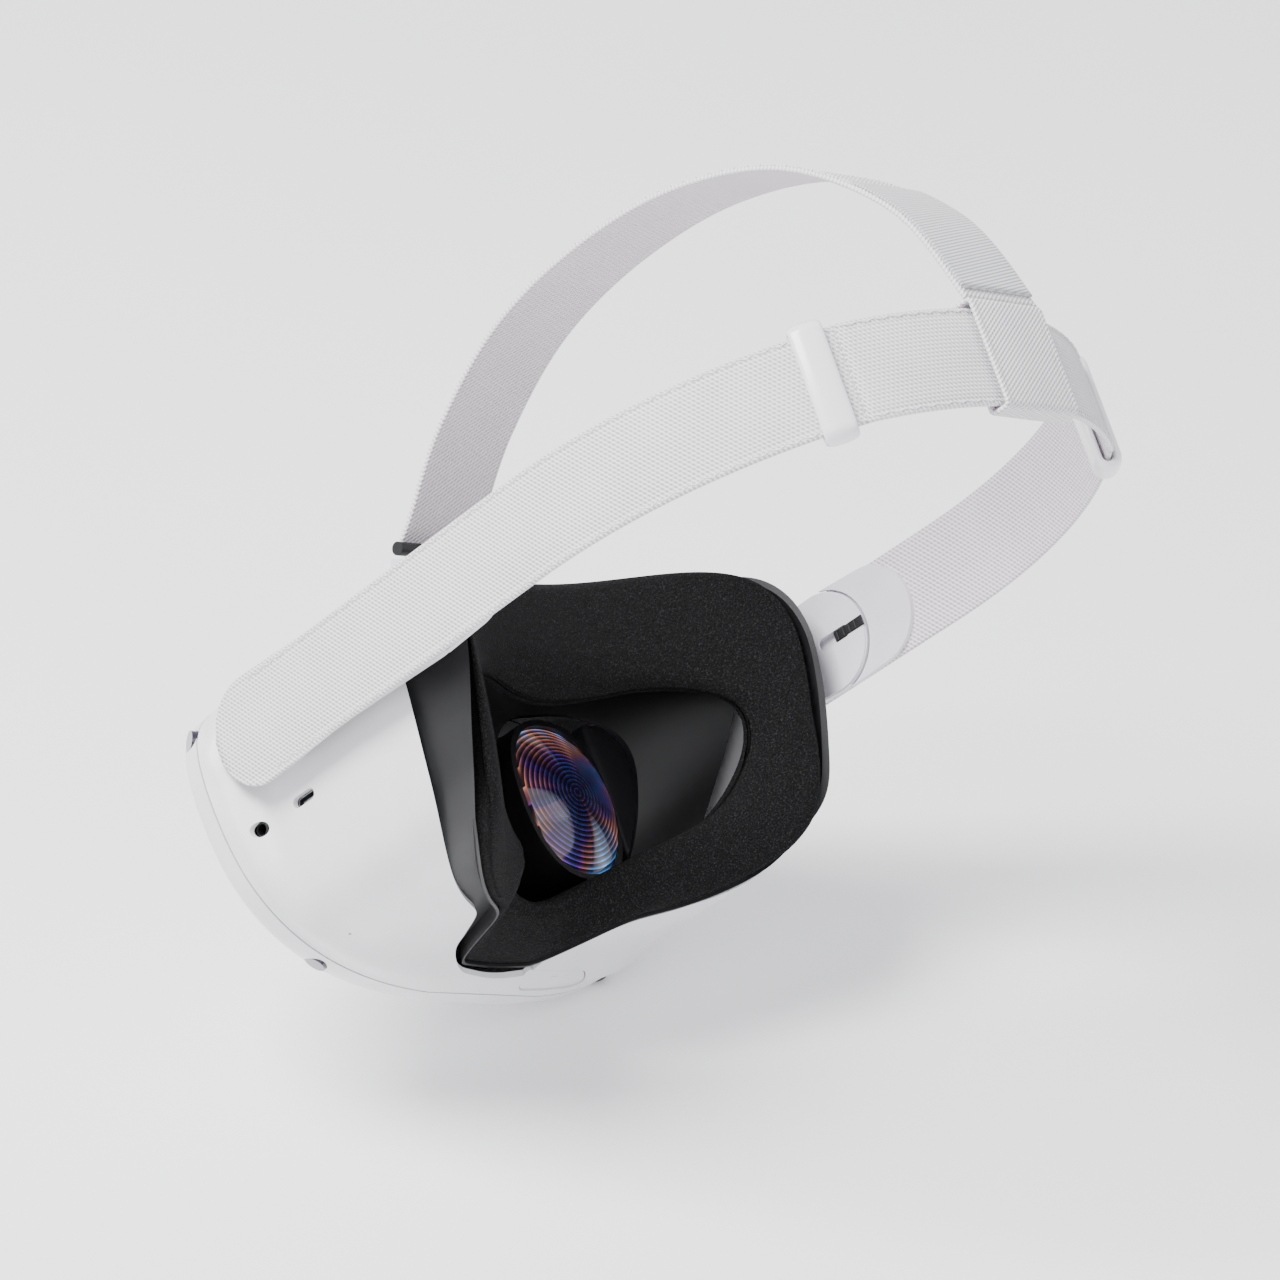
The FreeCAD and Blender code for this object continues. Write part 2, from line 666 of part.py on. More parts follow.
def heat_sink():
    """A finned plate in front of the main board."""
    sink = centred_box(SINK_SIZE, SINK_BASE_Y, LENS_Z)
    pitch = SINK_SIZE[0] / SINK_FINS
    for index in range(SINK_FINS):
        x = -SINK_SIZE[0] / 2 + pitch * (index + 0.5)
        fin = centred_box((SINK_FIN, SINK_SIZE[1]), (SINK_FIN_Y, SINK_BASE_Y[0]), LENS_Z, x)
        sink = sink.fuse(fin)
    return sink.removeSplitter()


def battery():
    """The cell that stands beside the right lens."""
    cell = box((-BATTERY_X[1], -BATTERY_X[0]), BATTERY_Y, BATTERY_Z)
    return cell.makeFillet(BATTERY_ROUNDING, cell.Edges)


def fan_housing():
    """The low case of the cooling fan, above the lenses, with its outlet forward."""
    case = cylinder(FAN_RADIUS + FAN_WALL, FAN_HEIGHT, FAN_CENTRE, Z_AXIS)
    outlet = box((FAN_CENTRE.x, FAN_CENTRE.x + FAN_RADIUS + FAN_WALL),
                 (FAN_CENTRE.y - FAN_RADIUS - FAN_WALL, FAN_CENTRE.y),
                 (FAN_CENTRE.z, FAN_CENTRE.z + FAN_HEIGHT))
    case = case.fuse(outlet).removeSplitter()
    well = cylinder(FAN_RADIUS, FAN_HEIGHT, FAN_CENTRE + Z_AXIS * FAN_WALL, Z_AXIS)
    mouth = box((FAN_CENTRE.x + FAN_WALL, FAN_CENTRE.x + FAN_RADIUS),
                (FAN_CENTRE.y - 2 * FAN_RADIUS, FAN_CENTRE.y),
                (FAN_CENTRE.z + FAN_WALL, FAN_CENTRE.z + FAN_HEIGHT))
    pin = cylinder(FAN_PIN_RADIUS, FAN_HEIGHT - FAN_WALL, FAN_CENTRE, Z_AXIS)
    return case.cut(well).cut(mouth).fuse(pin).removeSplitter()


def fan_rotor():
    """A hub with flat blades that turns on the fan housing's pin."""
    base = FAN_CENTRE + Z_AXIS * (FAN_WALL + FAN_AIR)
    height = FAN_HEIGHT - FAN_WALL - 2 * FAN_AIR
    rotor = cylinder(FAN_HUB_RADIUS, height, base, Z_AXIS)
    for index in range(FAN_BLADES):
        blade = Part.makeBox(FAN_RADIUS - 1, FAN_BLADE, height, base - Y_AXIS * (FAN_BLADE / 2))
        blade.rotate(base, Z_AXIS, 360 * index / FAN_BLADES)
        rotor = rotor.fuse(blade)
    bore = cylinder(FAN_PIN_RADIUS + RAIL_CLEARANCE, 2 * height, base - Z_AXIS * height / 2, Z_AXIS)
    return rotor.removeSplitter().cut(bore)


def lens_oval(side, grow, y_range):
    """A lens outline, grown by a margin, as a prism along Y."""
    prism = oval_prism(LENS_HALF_WIDTH + grow, LENS_Z + LENS_HALF_HEIGHT + grow,
                       LENS_Z - LENS_HALF_HEIGHT - grow, LENS_POWER, y_range)
    return moved(prism, X_AXIS * side * LENS_X)


def lens(side):
    """A thick lens: flat in front, domed towards the eye."""
    blank = lens_oval(side, 0, (LENS_FRONT_Y, LENS_EDGE_Y + LENS_CROWN))
    radius = (LENS_HALF_HEIGHT**2 + LENS_CROWN**2) / (2 * LENS_CROWN)
    dome = Part.makeSphere(radius, Vector(side * LENS_X, LENS_EDGE_Y + LENS_CROWN - radius, LENS_Z))
    return blank.common(dome)


def rack(side):
    """A toothed bar that a lens carrier pushes past the pinion."""
    level = PINION_Z + side * PINION_RADIUS
    pitch = math.pi * PINION_MODULE
    half_top = PINION_MODULE * math.tan(PRESSURE_ANGLE)
    half_pitch = pitch / 4 - TOOTH_PLAY / 2
    tip = level - side * PINION_MODULE * 0.9
    root = level + side * PINION_MODULE * 1.2
    back = root + side * RACK_DEPTH
    y = PINION_FRONT_Y
    start = side * RACK_REACH[0]
    end = side * RACK_REACH[1]
    bar = box(sorted((start, end)), (y, y + PINION_THICKNESS), sorted((root, back)))
    for index in range(-RACK_TEETH, RACK_TEETH + 1):
        middle = index * pitch
        outline = [
            Vector(middle - half_pitch - half_top * 1.2, y, root),
            Vector(middle - half_pitch + half_top * 0.9, y, tip),
            Vector(middle + half_pitch - half_top * 0.9, y, tip),
            Vector(middle + half_pitch + half_top * 1.2, y, root),
        ]
        face = Part.Face(Part.makePolygon(outline + outline[:1]))
        bar = bar.fuse(face.extrude(Vector(0, PINION_THICKNESS, 0)))
    return bar.removeSplitter()


def spacing_pinion():
    """The pinion between the two racks, with involute teeth, a gap on the upper rack's middle."""
    base = PINION_RADIUS * math.cos(PRESSURE_ANGLE)
    tip = PINION_RADIUS + PINION_MODULE * 0.9
    root = PINION_RADIUS - PINION_MODULE * 1.2
    flat = math.tan(PRESSURE_ANGLE) - PRESSURE_ANGLE
    half_tooth = (math.pi * PINION_MODULE / 2 - TOOTH_PLAY) / (2 * PINION_RADIUS)
    points = []
    for index in range(PINION_TEETH):
        middle = math.pi / 2 + (index + 0.5) * 2 * math.pi / PINION_TEETH
        flank = []
        for step in range(FLANK_POINTS):
            radius = base + (tip - base) * step / (FLANK_POINTS - 1)
            roll = math.acos(base / radius)
            flank.append((radius, half_tooth + flat - (math.tan(roll) - roll)))
        rising = [(root, flank[0][1])] + flank
        points += [(radius, middle - half) for radius, half in rising]
        points += [(radius, middle + half) for radius, half in reversed(rising)]
    outline = [Vector(radius * math.cos(angle), PINION_FRONT_Y, PINION_Z + radius * math.sin(angle))
               for radius, angle in points]
    face = Part.Face(Part.makePolygon(outline + outline[:1]))
    gear = face.extrude(Vector(0, PINION_THICKNESS, 0))
    bore = cylinder(PINION_PIN_RADIUS + RAIL_CLEARANCE, REACH, Vector(0, FRONT_Y, PINION_Z), Y_AXIS)
    return gear.cut(bore)


def rail_lug(side, z):
    """A guide lug that joins a carrier's tube to a rail's height."""
    edge = LENS_Z + math.copysign(LENS_HALF_HEIGHT, z - LENS_Z)
    far = z + math.copysign(LUG_SIZE / 2, z - LENS_Z)
    return box(sorted((side * (LENS_X - LUG_LENGTH / 2), side * (LENS_X + LUG_LENGTH / 2))),
               (RAIL_Y - LUG_SIZE / 2, RAIL_Y + LUG_SIZE / 2), sorted((edge, far)))


def lens_carrier(side):
    """The black tube that holds a lens, with two guide lugs and a rack."""
    tube = lens_oval(side, CARRIER_WALL, (CARRIER_FRONT_Y, CARRIER_REAR_Y))
    for z in RAIL_Z:
        tube = tube.fuse(rail_lug(side, z))
    tube = tube.fuse(rack(side))
    light_path = lens_oval(side, -CARRIER_WALL / 2, (CARRIER_FRONT_Y, LENS_FRONT_Y))
    seat = lens_oval(side, 0, (LENS_FRONT_Y, CARRIER_REAR_Y))
    tube = tube.cut(light_path.fuse(seat))
    for z in RAIL_Z:
        bore = cylinder(RAIL_RADIUS + RAIL_CLEARANCE, REACH, Vector(-REACH / 2, RAIL_Y, z), X_AXIS)
        tube = tube.cut(bore)
    return tube.removeSplitter()


def lens_guides():
    """Steel rods across the visor: one above, two short ones below, and a hanger with the pinion's pin."""
    upper, lower = RAIL_Z
    rods = [cylinder(RAIL_RADIUS, RAIL_OUTER_X - RAIL_INNER_X,
                     Vector(side * RAIL_INNER_X, RAIL_Y, lower), X_AXIS * side) for side in SIDES.values()]
    rod = cylinder(RAIL_RADIUS, 2 * RAIL_OUTER_X, Vector(-RAIL_OUTER_X, RAIL_Y, upper), X_AXIS)
    back = PINION_FRONT_Y - PINION_GAP
    plate = box((-HANGER_WIDTH / 2, HANGER_WIDTH / 2), (back - HANGER_THICKNESS, back),
                (PINION_Z - HANGER_WIDTH / 2, upper + RAIL_RADIUS))
    link = box((-HANGER_WIDTH / 2, HANGER_WIDTH / 2), (back - HANGER_THICKNESS, RAIL_Y),
               (upper - RAIL_RADIUS, upper + RAIL_RADIUS))
    pin = cylinder(PINION_PIN_RADIUS, HANGER_THICKNESS + PINION_GAP + PINION_THICKNESS,
                   Vector(0, back - HANGER_THICKNESS, PINION_Z), Y_AXIS)
    hanger = rod.fuse([plate, link, pin]).removeSplitter()
    return Part.makeCompound(rods + [hanger])


def face_panel():
    """The black dished panel round the lenses, with two lens openings."""
    outline = oval_prism(PANEL_HALF_WIDTH, PANEL_TOP_Z, PANEL_BOTTOM_Z, REAR_POWER, THROUGH_Y)
    for side in SIDES.values():
        outline = outline.cut(lens_oval(side, CARRIER_WALL + LENS_TRAVEL + PANEL_GAP, THROUGH_Y))
    outline = outline.cut(sensor_window(SENSOR_GAP, THROUGH_Y))
    return outline.common(behind(panel_depth, -PANEL_WALL).cut(behind(panel_depth)))


def sensor_window(grow, y_range):
    """The proximity sensor's block, or a cutter for it."""
    size = [length + 2 * grow for length in SENSOR_SIZE]
    return centred_box(size, y_range, SENSOR_Z)


def proximity_sensor():
    """A small window above the nose, between the lenses."""
    return sensor_window(0, SENSOR_Y)


def foam_outline(inset):
    """The foam's outline as a prism right through the visor."""
    return oval_prism(FOAM_HALF_WIDTH - inset, FOAM_TOP_Z - inset, FOAM_BOTTOM_Z + inset, REAR_POWER,
                      THROUGH_Y, REAR_WIDEST_Z)


def interface_frame():
    """The soft black shroud that plugs into the housing, with a flange that the foam sits on."""
    beyond = behind(shroud_edge)
    tube = shroud_tube(0).cut(shroud_tube(SHROUD_WALL))
    tube = tube.common(behind(housing_edge, -SHROUD_TUCK).cut(beyond))
    flange = foam_outline(SHROUD_LIP_INSET).cut(foam_outline(SHROUD_FLANGE))
    flange = flange.common(behind(shroud_edge, -SHROUD_FLANGE_DEPTH).cut(beyond))
    return tube.fuse(flange)


def eye_opening():
    """The opening in the foam: flat at the brow, round at the temples, running down to the nose."""
    points = [Vector(x, THROUGH_Y[0], z) for x, z in EYE_OUTLINE]
    points += [Vector(-x, THROUGH_Y[0], z) for x, z in reversed(EYE_OUTLINE[1:-1])]
    curve = Part.BSplineCurve()
    curve.interpolate(points, PeriodicFlag=True)
    face = Part.Face(Part.Wire(curve.toShape()))
    return face.extrude(Y_AXIS * (THROUGH_Y[1] - THROUGH_Y[0]))


def face_foam():
    """The foam ring that meets the face."""
    ring = foam_outline(0).cut(eye_opening())
    return ring.common(behind(shroud_edge, FOAM_GAP).cut(behind(foam_edge)))


def along_side(shape, side):
    """Move a flat plate from the plane x = 0 to the outer face of a strap arm."""
    placed = shape.copy()
    placed.rotate(Vector(0, 0, 0), Z_AXIS, -math.degrees(SIDE_SLOPE))
    placed.translate(Vector(SIDE_X, 0, 0))
    return mirrored(placed, side)


def pivot_bore():
    """A cutter for the hole that an arm turns on, for the left side."""
    return cylinder(PIVOT_PIN_RADIUS + PIVOT_CLEARANCE, REACH, Vector(0, PIVOT_Y, 0), X_AXIS)


def arm_blank(layer, inset=0.0):
    """A plate with an arm's outline; layer is how deep it lies below the outer face, and its thickness."""
    radii = (ARM_END_RADIUS - ARM_FRONT_RIM - inset, ARM_STUB_RADIUS - ARM_RIM - inset)
    return moved(stadium((0, ARM_STUB_Y), radii, layer[1]), Vector(-layer[0], 0, 0))


def sound_slot():
    """A cutter for the slot that the sound comes out of."""
    start = Vector(-ARM_THICKNESS - WEBBING - 2 * COVER_THICKNESS, SLOT_Y, 0)
    return slot_prism(start, SLOT_LENGTH, SLOT_WIDTH, X_AXIS, 3 * COVER_THICKNESS, Y_AXIS)


def speaker_well(radius):
    """A round space inside an arm for its speaker."""
    start = Vector(-WEBBING - ARM_THICKNESS, SPEAKER_Y, 0)
    return cylinder(radius, SPEAKER_THICKNESS, start, X_AXIS)


def arm(side):
    """The stiff arm under the webbing, bored for its pivot, with a well for the speaker."""
    plate = arm_blank((WEBBING, ARM_THICKNESS))
    channel = box((-WEBBING - ARM_THICKNESS, -WEBBING - ARM_THICKNESS + SPEAKER_THICKNESS),
                  (SPEAKER_Y, SLOT_Y), (-SLOT_WIDTH / 2, SLOT_WIDTH / 2))
    plate = plate.cut(speaker_well(SPEAKER_RADIUS + SPEAKER_GAP)).cut(channel).cut(sound_slot())
    placed = along_side(plate, 1).cut(pivot_bore())
    return mirrored(placed, side)


def arm_cover(side):
    """The smooth inner cover of an arm, with the slot that the sound comes out of."""
    plate = arm_blank((WEBBING + ARM_THICKNESS, COVER_THICKNESS), COVER_INSET)
    placed = along_side(plate.cut(sound_slot()), 1).cut(pivot_bore())
    return mirrored(placed, side)


def speaker(side):
    """A thin round speaker in the arm's well, with its magnet."""
    driver = speaker_well(SPEAKER_RADIUS)
    start = Vector(-WEBBING - ARM_THICKNESS, SPEAKER_Y, 0)
    dish = cylinder(SPEAKER_RADIUS * 0.7, SPEAKER_THICKNESS * 0.3, start, X_AXIS)
    return along_side(driver.cut(dish), side)


def strap_clip(side):
    """The plate that joins the webbing to the arm, fitted round the arm's end."""
    plate = stadium((ARM_STUB_Y, CLIP_END_Y), (ARM_STUB_RADIUS - CLIP_GAP, CLIP_RADIUS), CLIP_THICKNESS)
    stub = cylinder(ARM_STUB_RADIUS + CLIP_GAP, 2 * CLIP_THICKNESS,
                    Vector(-1.5 * CLIP_THICKNESS, ARM_STUB_Y, 0), X_AXIS)
    front = box((-CLIP_THICKNESS, CLIP_THICKNESS), (0, ARM_STUB_Y), (-REACH, REACH))
    plate = plate.cut(stub).cut(front)
    return along_side(moved(plate, X_AXIS * -WEBBING), side)


def arc_point(angle, inset=0.0):
    """A point on the strap's side arc, inset towards the head."""
    radius = ARC_RADIUS - inset
    return ARC_CENTRE + Vector(radius * math.cos(angle), radius * math.sin(angle), 0)


def side_point(y, inset=0.0):
    """A point on the straight side stretch, inset towards the head."""
    x = SIDE_X + y * math.tan(SIDE_SLOPE)
    return Vector(x - inset * math.cos(SIDE_SLOPE), y + inset * math.sin(SIDE_SLOPE), 0)


def strap_band(start_y, depth_range):
    """A strip of webbing from the straight side, round the arc to its rear end."""
    outer, inner = depth_range
    middle_angle = (ARC_START + ARC_END) / 2
    corner = [arc_point(ARC_START, inset) for inset in (outer, inner)]
    middle = [arc_point(middle_angle, inset) for inset in (outer, inner)]
    end = [arc_point(ARC_END, inset) for inset in (outer, inner)]
    edges = [
        Part.LineSegment(side_point(start_y, outer), corner[0]),
        Part.Arc(corner[0], middle[0], end[0]),
        Part.LineSegment(end[0], end[1]),
        Part.Arc(end[1], middle[1], corner[1]),
        Part.LineSegment(corner[1], side_point(start_y, inner)),
        Part.LineSegment(side_point(start_y, inner), side_point(start_y, outer)),
    ]
    face = Part.Face(Part.Wire([edge.toShape() for edge in edges]))
    return moved(face, Z_AXIS * -STRAP_HALF_HEIGHT).extrude(Z_AXIS * 2 * STRAP_HALF_HEIGHT)


def side_strap(side):
    """The webbing along one side: over the arm to its round front end, and back to the rear strap."""
    over_arm = stadium((0, CLIP_END_Y + CLIP_RADIUS), (ARM_END_RADIUS, STRAP_HALF_HEIGHT), WEBBING)
    over_arm = along_side(over_arm, 1)
    band = strap_band(CLIP_END_Y + CLIP_RADIUS + CLIP_GAP, (0, STRAP_THICKNESS))
    return mirrored(over_arm.fuse(band).removeSplitter(), side)


def rear_strap():
    """The webbing between the two side straps, a shallow arc behind the head."""
    half_angle = math.asin(arc_point(ARC_END).x / REAR_RADIUS) - math.radians(REAR_END_GAP)
    centre = Vector(0, REAR_CENTRE_Y, 0)
    points = []
    for radius in (REAR_RADIUS, REAR_RADIUS - STRAP_THICKNESS):
        for angle in (-half_angle, 0, half_angle):
            points.append(centre + Vector(radius * math.sin(angle), radius * math.cos(angle), 0))
    edges = [
        Part.Arc(*points[:3]),
        Part.LineSegment(points[2], points[5]),
        Part.Arc(*reversed(points[3:])),
        Part.LineSegment(points[3], points[0]),
    ]
    face = Part.Face(Part.Wire([edge.toShape() for edge in edges]))
    return moved(face, Z_AXIS * -STRAP_HALF_HEIGHT).extrude(Z_AXIS * 2 * STRAP_HALF_HEIGHT)


def slider(side):
    """A rounded buckle round the webbing, drawn at the origin and then set on the side arc."""
    outer = SLIDER_OUTER + SLIDER_SLOT_GAP
    inner = STRAP_THICKNESS + SLIDER_SLOT_GAP + SLIDER_INNER
    body = box((-inner, outer), (-SLIDER_WIDTH / 2, SLIDER_WIDTH / 2), (-SLIDER_HEIGHT / 2, SLIDER_HEIGHT / 2))
    body = body.makeFillet(SLIDER_ROUNDING, body.Edges)
    slot_half = STRAP_HALF_HEIGHT + SLIDER_SLOT_GAP
    slot = box((-STRAP_THICKNESS - SLIDER_SLOT_GAP, SLIDER_SLOT_GAP), (-SLIDER_WIDTH, SLIDER_WIDTH),
               (-slot_half, slot_half))
    body = body.cut(slot)
    body.rotate(Vector(0, 0, 0), Z_AXIS, math.degrees(SLIDER_ANGLE))
    return mirrored(moved(body, arc_point(SLIDER_ANGLE)), side)


def profile_curve(offset, first=0.0, last=1.0):
    """The top strap's side profile, or a curve offset outwards from it."""
    middle = Part.BSplineCurve()
    middle.interpolate([Vector(0, y, z) for y, z in TOP_PROFILE])
    start, length = middle.FirstParameter, middle.LastParameter - middle.FirstParameter
    points = []
    for index in range(PROFILE_POINTS):
        share = first + (last - first) * index / (PROFILE_POINTS - 1)
        place = start + length * share
        outward = X_AXIS.cross(Vector(*middle.tangent(place)[0]))
        points.append(middle.value(place) + outward * offset)
    curve = Part.BSplineCurve()
    curve.interpolate(points)
    return curve, points


def profile_strip(low, high, half_width, first=0.0, last=1.0):
    """A strip along the top strap's profile, between two offsets from its middle."""
    lower, low_points = profile_curve(low, first, last)
    upper, high_points = profile_curve(high, first, last)
    edges = [
        lower.toShape(),
        Part.makeLine(low_points[-1], high_points[-1]),
        upper.toShape(),
        Part.makeLine(high_points[0], low_points[0]),
    ]
    face = Part.Face(Part.Wire(Part.sortEdges(edges)[0]))
    return moved(face, X_AXIS * -half_width).extrude(X_AXIS * 2 * half_width)


def top_strap():
    """The webbing over the head, from the bracket to the rear strap's loop."""
    return profile_strip(-TOP_THICKNESS / 2, TOP_THICKNESS / 2, TOP_HALF_WIDTH)


def strap_tab():
    """The hook-and-loop patch on the outside of the top strap's rear end."""
    return profile_strip(TOP_THICKNESS / 2, TOP_THICKNESS / 2 + TAB_THICKNESS, TOP_HALF_WIDTH, TAB_SHARE)


def strap_loop():
    """The loop of webbing round the rear strap."""
    outer = box((-TOP_HALF_WIDTH, TOP_HALF_WIDTH), (LOOP_FRONT_Y - LOOP_WALL, LOOP_BACK_Y + LOOP_WALL),
                (-LOOP_HALF_HEIGHT - LOOP_WALL, LOOP_HALF_HEIGHT + LOOP_WALL))
    edges = [edge for edge in outer.Edges if edge.BoundBox.XLength > TOP_HALF_WIDTH]
    outer = outer.makeFillet(LOOP_WALL, edges)
    inner = box((-TOP_HALF_WIDTH, TOP_HALF_WIDTH), (LOOP_FRONT_Y, LOOP_BACK_Y), (-LOOP_HALF_HEIGHT, LOOP_HALF_HEIGHT))
    return outer.cut(inner)


def bracket_point(share, out=0.0):
    """A point up the leaning bracket, from its root to its bar."""
    reach = BRACKET_LENGTH * share
    up = Vector(0, reach * math.sin(BRACKET_LEAN), reach * math.cos(BRACKET_LEAN))
    return BRACKET_ROOT + up + Y_AXIS * out


def bracket_legs():
    """The two grey legs of the top bracket and the bar that roots them in the housing."""
    legs = []
    for side in SIDES.values():
        x = sorted((side * BRACKET_HALF_WIDTH, side * (BRACKET_HALF_WIDTH - BRACKET_LEG_WIDTH)))
        leg = box(x, (-BRACKET_LEG_DEPTH / 2, BRACKET_LEG_DEPTH / 2), (0, BRACKET_LENGTH - BRACKET_BAR_RADIUS - 1))
        leg.rotate(Vector(0, 0, 0), X_AXIS, -math.degrees(BRACKET_LEAN))
        legs.append(moved(leg, BRACKET_ROOT))
    root = cylinder(BRACKET_LEG_DEPTH / 2, 2 * BRACKET_HALF_WIDTH,
                    BRACKET_ROOT - X_AXIS * BRACKET_HALF_WIDTH, X_AXIS)
    return root.fuse(legs).removeSplitter()


def bracket_arch():
    """The black bar across the legs, which the top strap wraps."""
    bar = cylinder(BRACKET_BAR_RADIUS, 2 * BRACKET_HALF_WIDTH,
                   bracket_point(1) - X_AXIS * BRACKET_HALF_WIDTH, X_AXIS)
    return bar


def status_light():
    """A light pipe behind the faceplate's small hole."""
    return cylinder(LIGHT_RADIUS, LIGHT_LENGTH, LIGHT_PLACE + Y_AXIS * 0.4, Y_AXIS)


def both(name, make):
    """One piece for each side, named after it."""
    return {f"{name}_{side_name}": make(side) for side_name, side in SIDES.items()}


def all_parts():
    """Every piece of the headset, by name."""
    parts = {
        "front_faceplate": faceplate(),
        "rear_housing": rear_housing(),
        "parting_gasket": gasket(),
        "status_light": status_light(),
        "usb_c_socket": usb_c_socket(),
        "audio_socket": audio_socket(),
        "power_button": power_button(),
        "volume_rocker": volume_rocker(),
        "mid_frame": mid_frame(),
        "frame_screws": screws(),
        "display_panel": display_panel(),
        "main_board": main_board(),
        "heat_sink": heat_sink(),
        "battery": battery(),
        "fan_housing": fan_housing(),
        "fan_rotor": fan_rotor(),
        "lens_guides": lens_guides(),
        "spacing_pinion": spacing_pinion(),
        "face_panel": face_panel(),
        "proximity_sensor": proximity_sensor(),
        "interface_frame": interface_frame(),
        "face_foam": face_foam(),
        "rear_strap": rear_strap(),
        "top_strap": top_strap(),
        "strap_tab": strap_tab(),
        "strap_loop": strap_loop(),
        "bracket_legs": bracket_legs(),
        "bracket_arch": bracket_arch(),
    }
    parts.update(camera_bodies())
    for name, make in (
        ("pivot_pin", pivot_pin),
        ("lens_carrier", lens_carrier),
        ("lens", lens),
        ("arm", arm),
        ("arm_cover", arm_cover),
        ("speaker", speaker),
        ("strap_clip", strap_clip),
        ("side_strap", side_strap),
        ("slider", slider),
    ):
        parts.update(both(name, make))
    return parts


os.makedirs("parts", exist_ok=True)
for name, shape in all_parts().items():
    moved(shape, TO_ORIGIN).exportStep(f"parts/{name}.step")
    print(name, "valid" if shape.isValid() else "INVALID", len(shape.Solids), round(shape.Volume))
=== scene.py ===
import math

import bmesh
import bpy
from mathutils import Matrix, Vector


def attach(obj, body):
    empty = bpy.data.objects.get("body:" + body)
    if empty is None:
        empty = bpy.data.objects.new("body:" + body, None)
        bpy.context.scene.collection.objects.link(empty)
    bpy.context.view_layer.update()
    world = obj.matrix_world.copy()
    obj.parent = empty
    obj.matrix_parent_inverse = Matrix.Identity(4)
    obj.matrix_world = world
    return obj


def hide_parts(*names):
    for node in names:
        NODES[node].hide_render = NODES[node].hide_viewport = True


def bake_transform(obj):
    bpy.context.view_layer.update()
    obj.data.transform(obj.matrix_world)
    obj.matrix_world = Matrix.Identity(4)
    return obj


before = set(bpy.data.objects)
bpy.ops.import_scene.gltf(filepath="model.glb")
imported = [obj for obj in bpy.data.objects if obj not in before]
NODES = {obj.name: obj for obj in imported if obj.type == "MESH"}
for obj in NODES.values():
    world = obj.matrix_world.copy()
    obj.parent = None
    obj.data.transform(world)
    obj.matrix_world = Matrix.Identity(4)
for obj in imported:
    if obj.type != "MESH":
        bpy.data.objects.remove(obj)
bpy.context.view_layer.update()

MM = 0.001
SIDES = ((1, "left"), (-1, "right"))
# The design's own origin, midway between the round front ends of the side straps, in the row frame
DESIGN_ORIGIN = Vector((0, -103.3, 74.5)) * MM
UP = Vector((0, 0, 1))


def design(x, y, z):
    """A point given in the design's millimetres, in the row frame in metres."""
    return Vector((x, y, z)) * MM + DESIGN_ORIGIN


def in_design(point):
    """A row frame point, back in the design's millimetres."""
    return (point - DESIGN_ORIGIN) / MM


# ---------------------------------------------------------------- node helpers

class Shader:
    """A material with a Principled shader and short calls for adding nodes."""

    def __init__(self, name, **inputs):
        self.material = bpy.data.materials.new(name)
        self.material.use_nodes = True
        self.tree = self.material.node_tree
        self.principled = self.tree.nodes["Principled BSDF"]
        for key, value in inputs.items():
            self.principled.inputs[key.replace("_", " ")].default_value = value

    def node(self, kind, inputs=None, **settings):
        """Adds a node. inputs maps socket names or numbers to values or to other nodes' outputs."""
        node = self.tree.nodes.new(kind)
        for key, value in settings.items():
            setattr(node, key, value)
        for key, value in (inputs or {}).items():
            if isinstance(value, bpy.types.NodeSocket):
                self.tree.links.new(value, node.inputs[key])
            else:
                node.inputs[key].default_value = value
        return node

    def math(self, operation, first, second=0.0):
        return self.node("ShaderNodeMath", {0: first, 1: second}, operation=operation).outputs[0]

    def vector(self, operation, first, second=(0, 0, 0), output=0):
        inputs = {0: first, 1: second}
        return self.node("ShaderNodeVectorMath", inputs, operation=operation).outputs[output]

    def coordinates(self, output="Object"):
        return self.node("ShaderNodeTexCoord").outputs[output]

    def noise(self, scale, detail=3.0, roughness=0.5, vector=None):
        inputs = {"Vector": vector or self.coordinates(), "Scale": scale, "Detail": detail,
                  "Roughness": roughness}
        return self.node("ShaderNodeTexNoise", inputs).outputs["Fac"]

    def ramp(self, factor, stops):
        """A colour ramp; stops are (position, colour) pairs."""
        node = self.node("ShaderNodeValToRGB", {"Fac": factor})
        elements = node.color_ramp.elements
        while len(elements) < len(stops):
            elements.new(0.5)
        for element, (position, colour) in zip(elements, stops):
            element.position = position
            element.color = (*colour, 1)
        return node.outputs["Color"]

    def span(self, value, low, high):
        """The value, 0 to 1, spread over a range."""
        return self.node("ShaderNodeMapRange", {"Value": value, "To Min": low, "To Max": high}).outputs[0]

    def bump(self, height, strength, distance):
        normal = self.node("ShaderNodeBump", {"Height": height, "Strength": strength,
                                              "Distance": distance}).outputs["Normal"]
        self.tree.links.new(normal, self.principled.inputs["Normal"])

    def drive(self, name, socket):
        self.tree.links.new(socket, self.principled.inputs[name])


ROUGHNESS_SWING = 0.06
BROAD_SHARE = 40


def speckled(name, base, second, grain, rough, depth, metallic=0.0, coat=0.0):
    """A moulded or machined surface.

    Two colours drift slowly over it. A fine grain, with its scale per metre, moves the roughness
    and the bump, which is depth metres deep.
    """
    shader = Shader(name, Metallic=metallic, Coat_Weight=coat, Coat_Roughness=0.15)
    fine = shader.noise(grain, detail=4.0, roughness=0.6)
    broad = shader.noise(grain / BROAD_SHARE, detail=2.0)
    shader.drive("Base Color", shader.ramp(broad, [(0.35, base), (0.65, second)]))
    shader.drive("Roughness", shader.span(fine, rough - ROUGHNESS_SWING, rough + ROUGHNESS_SWING))
    shader.bump(fine, strength=0.35, distance=depth)
    return shader


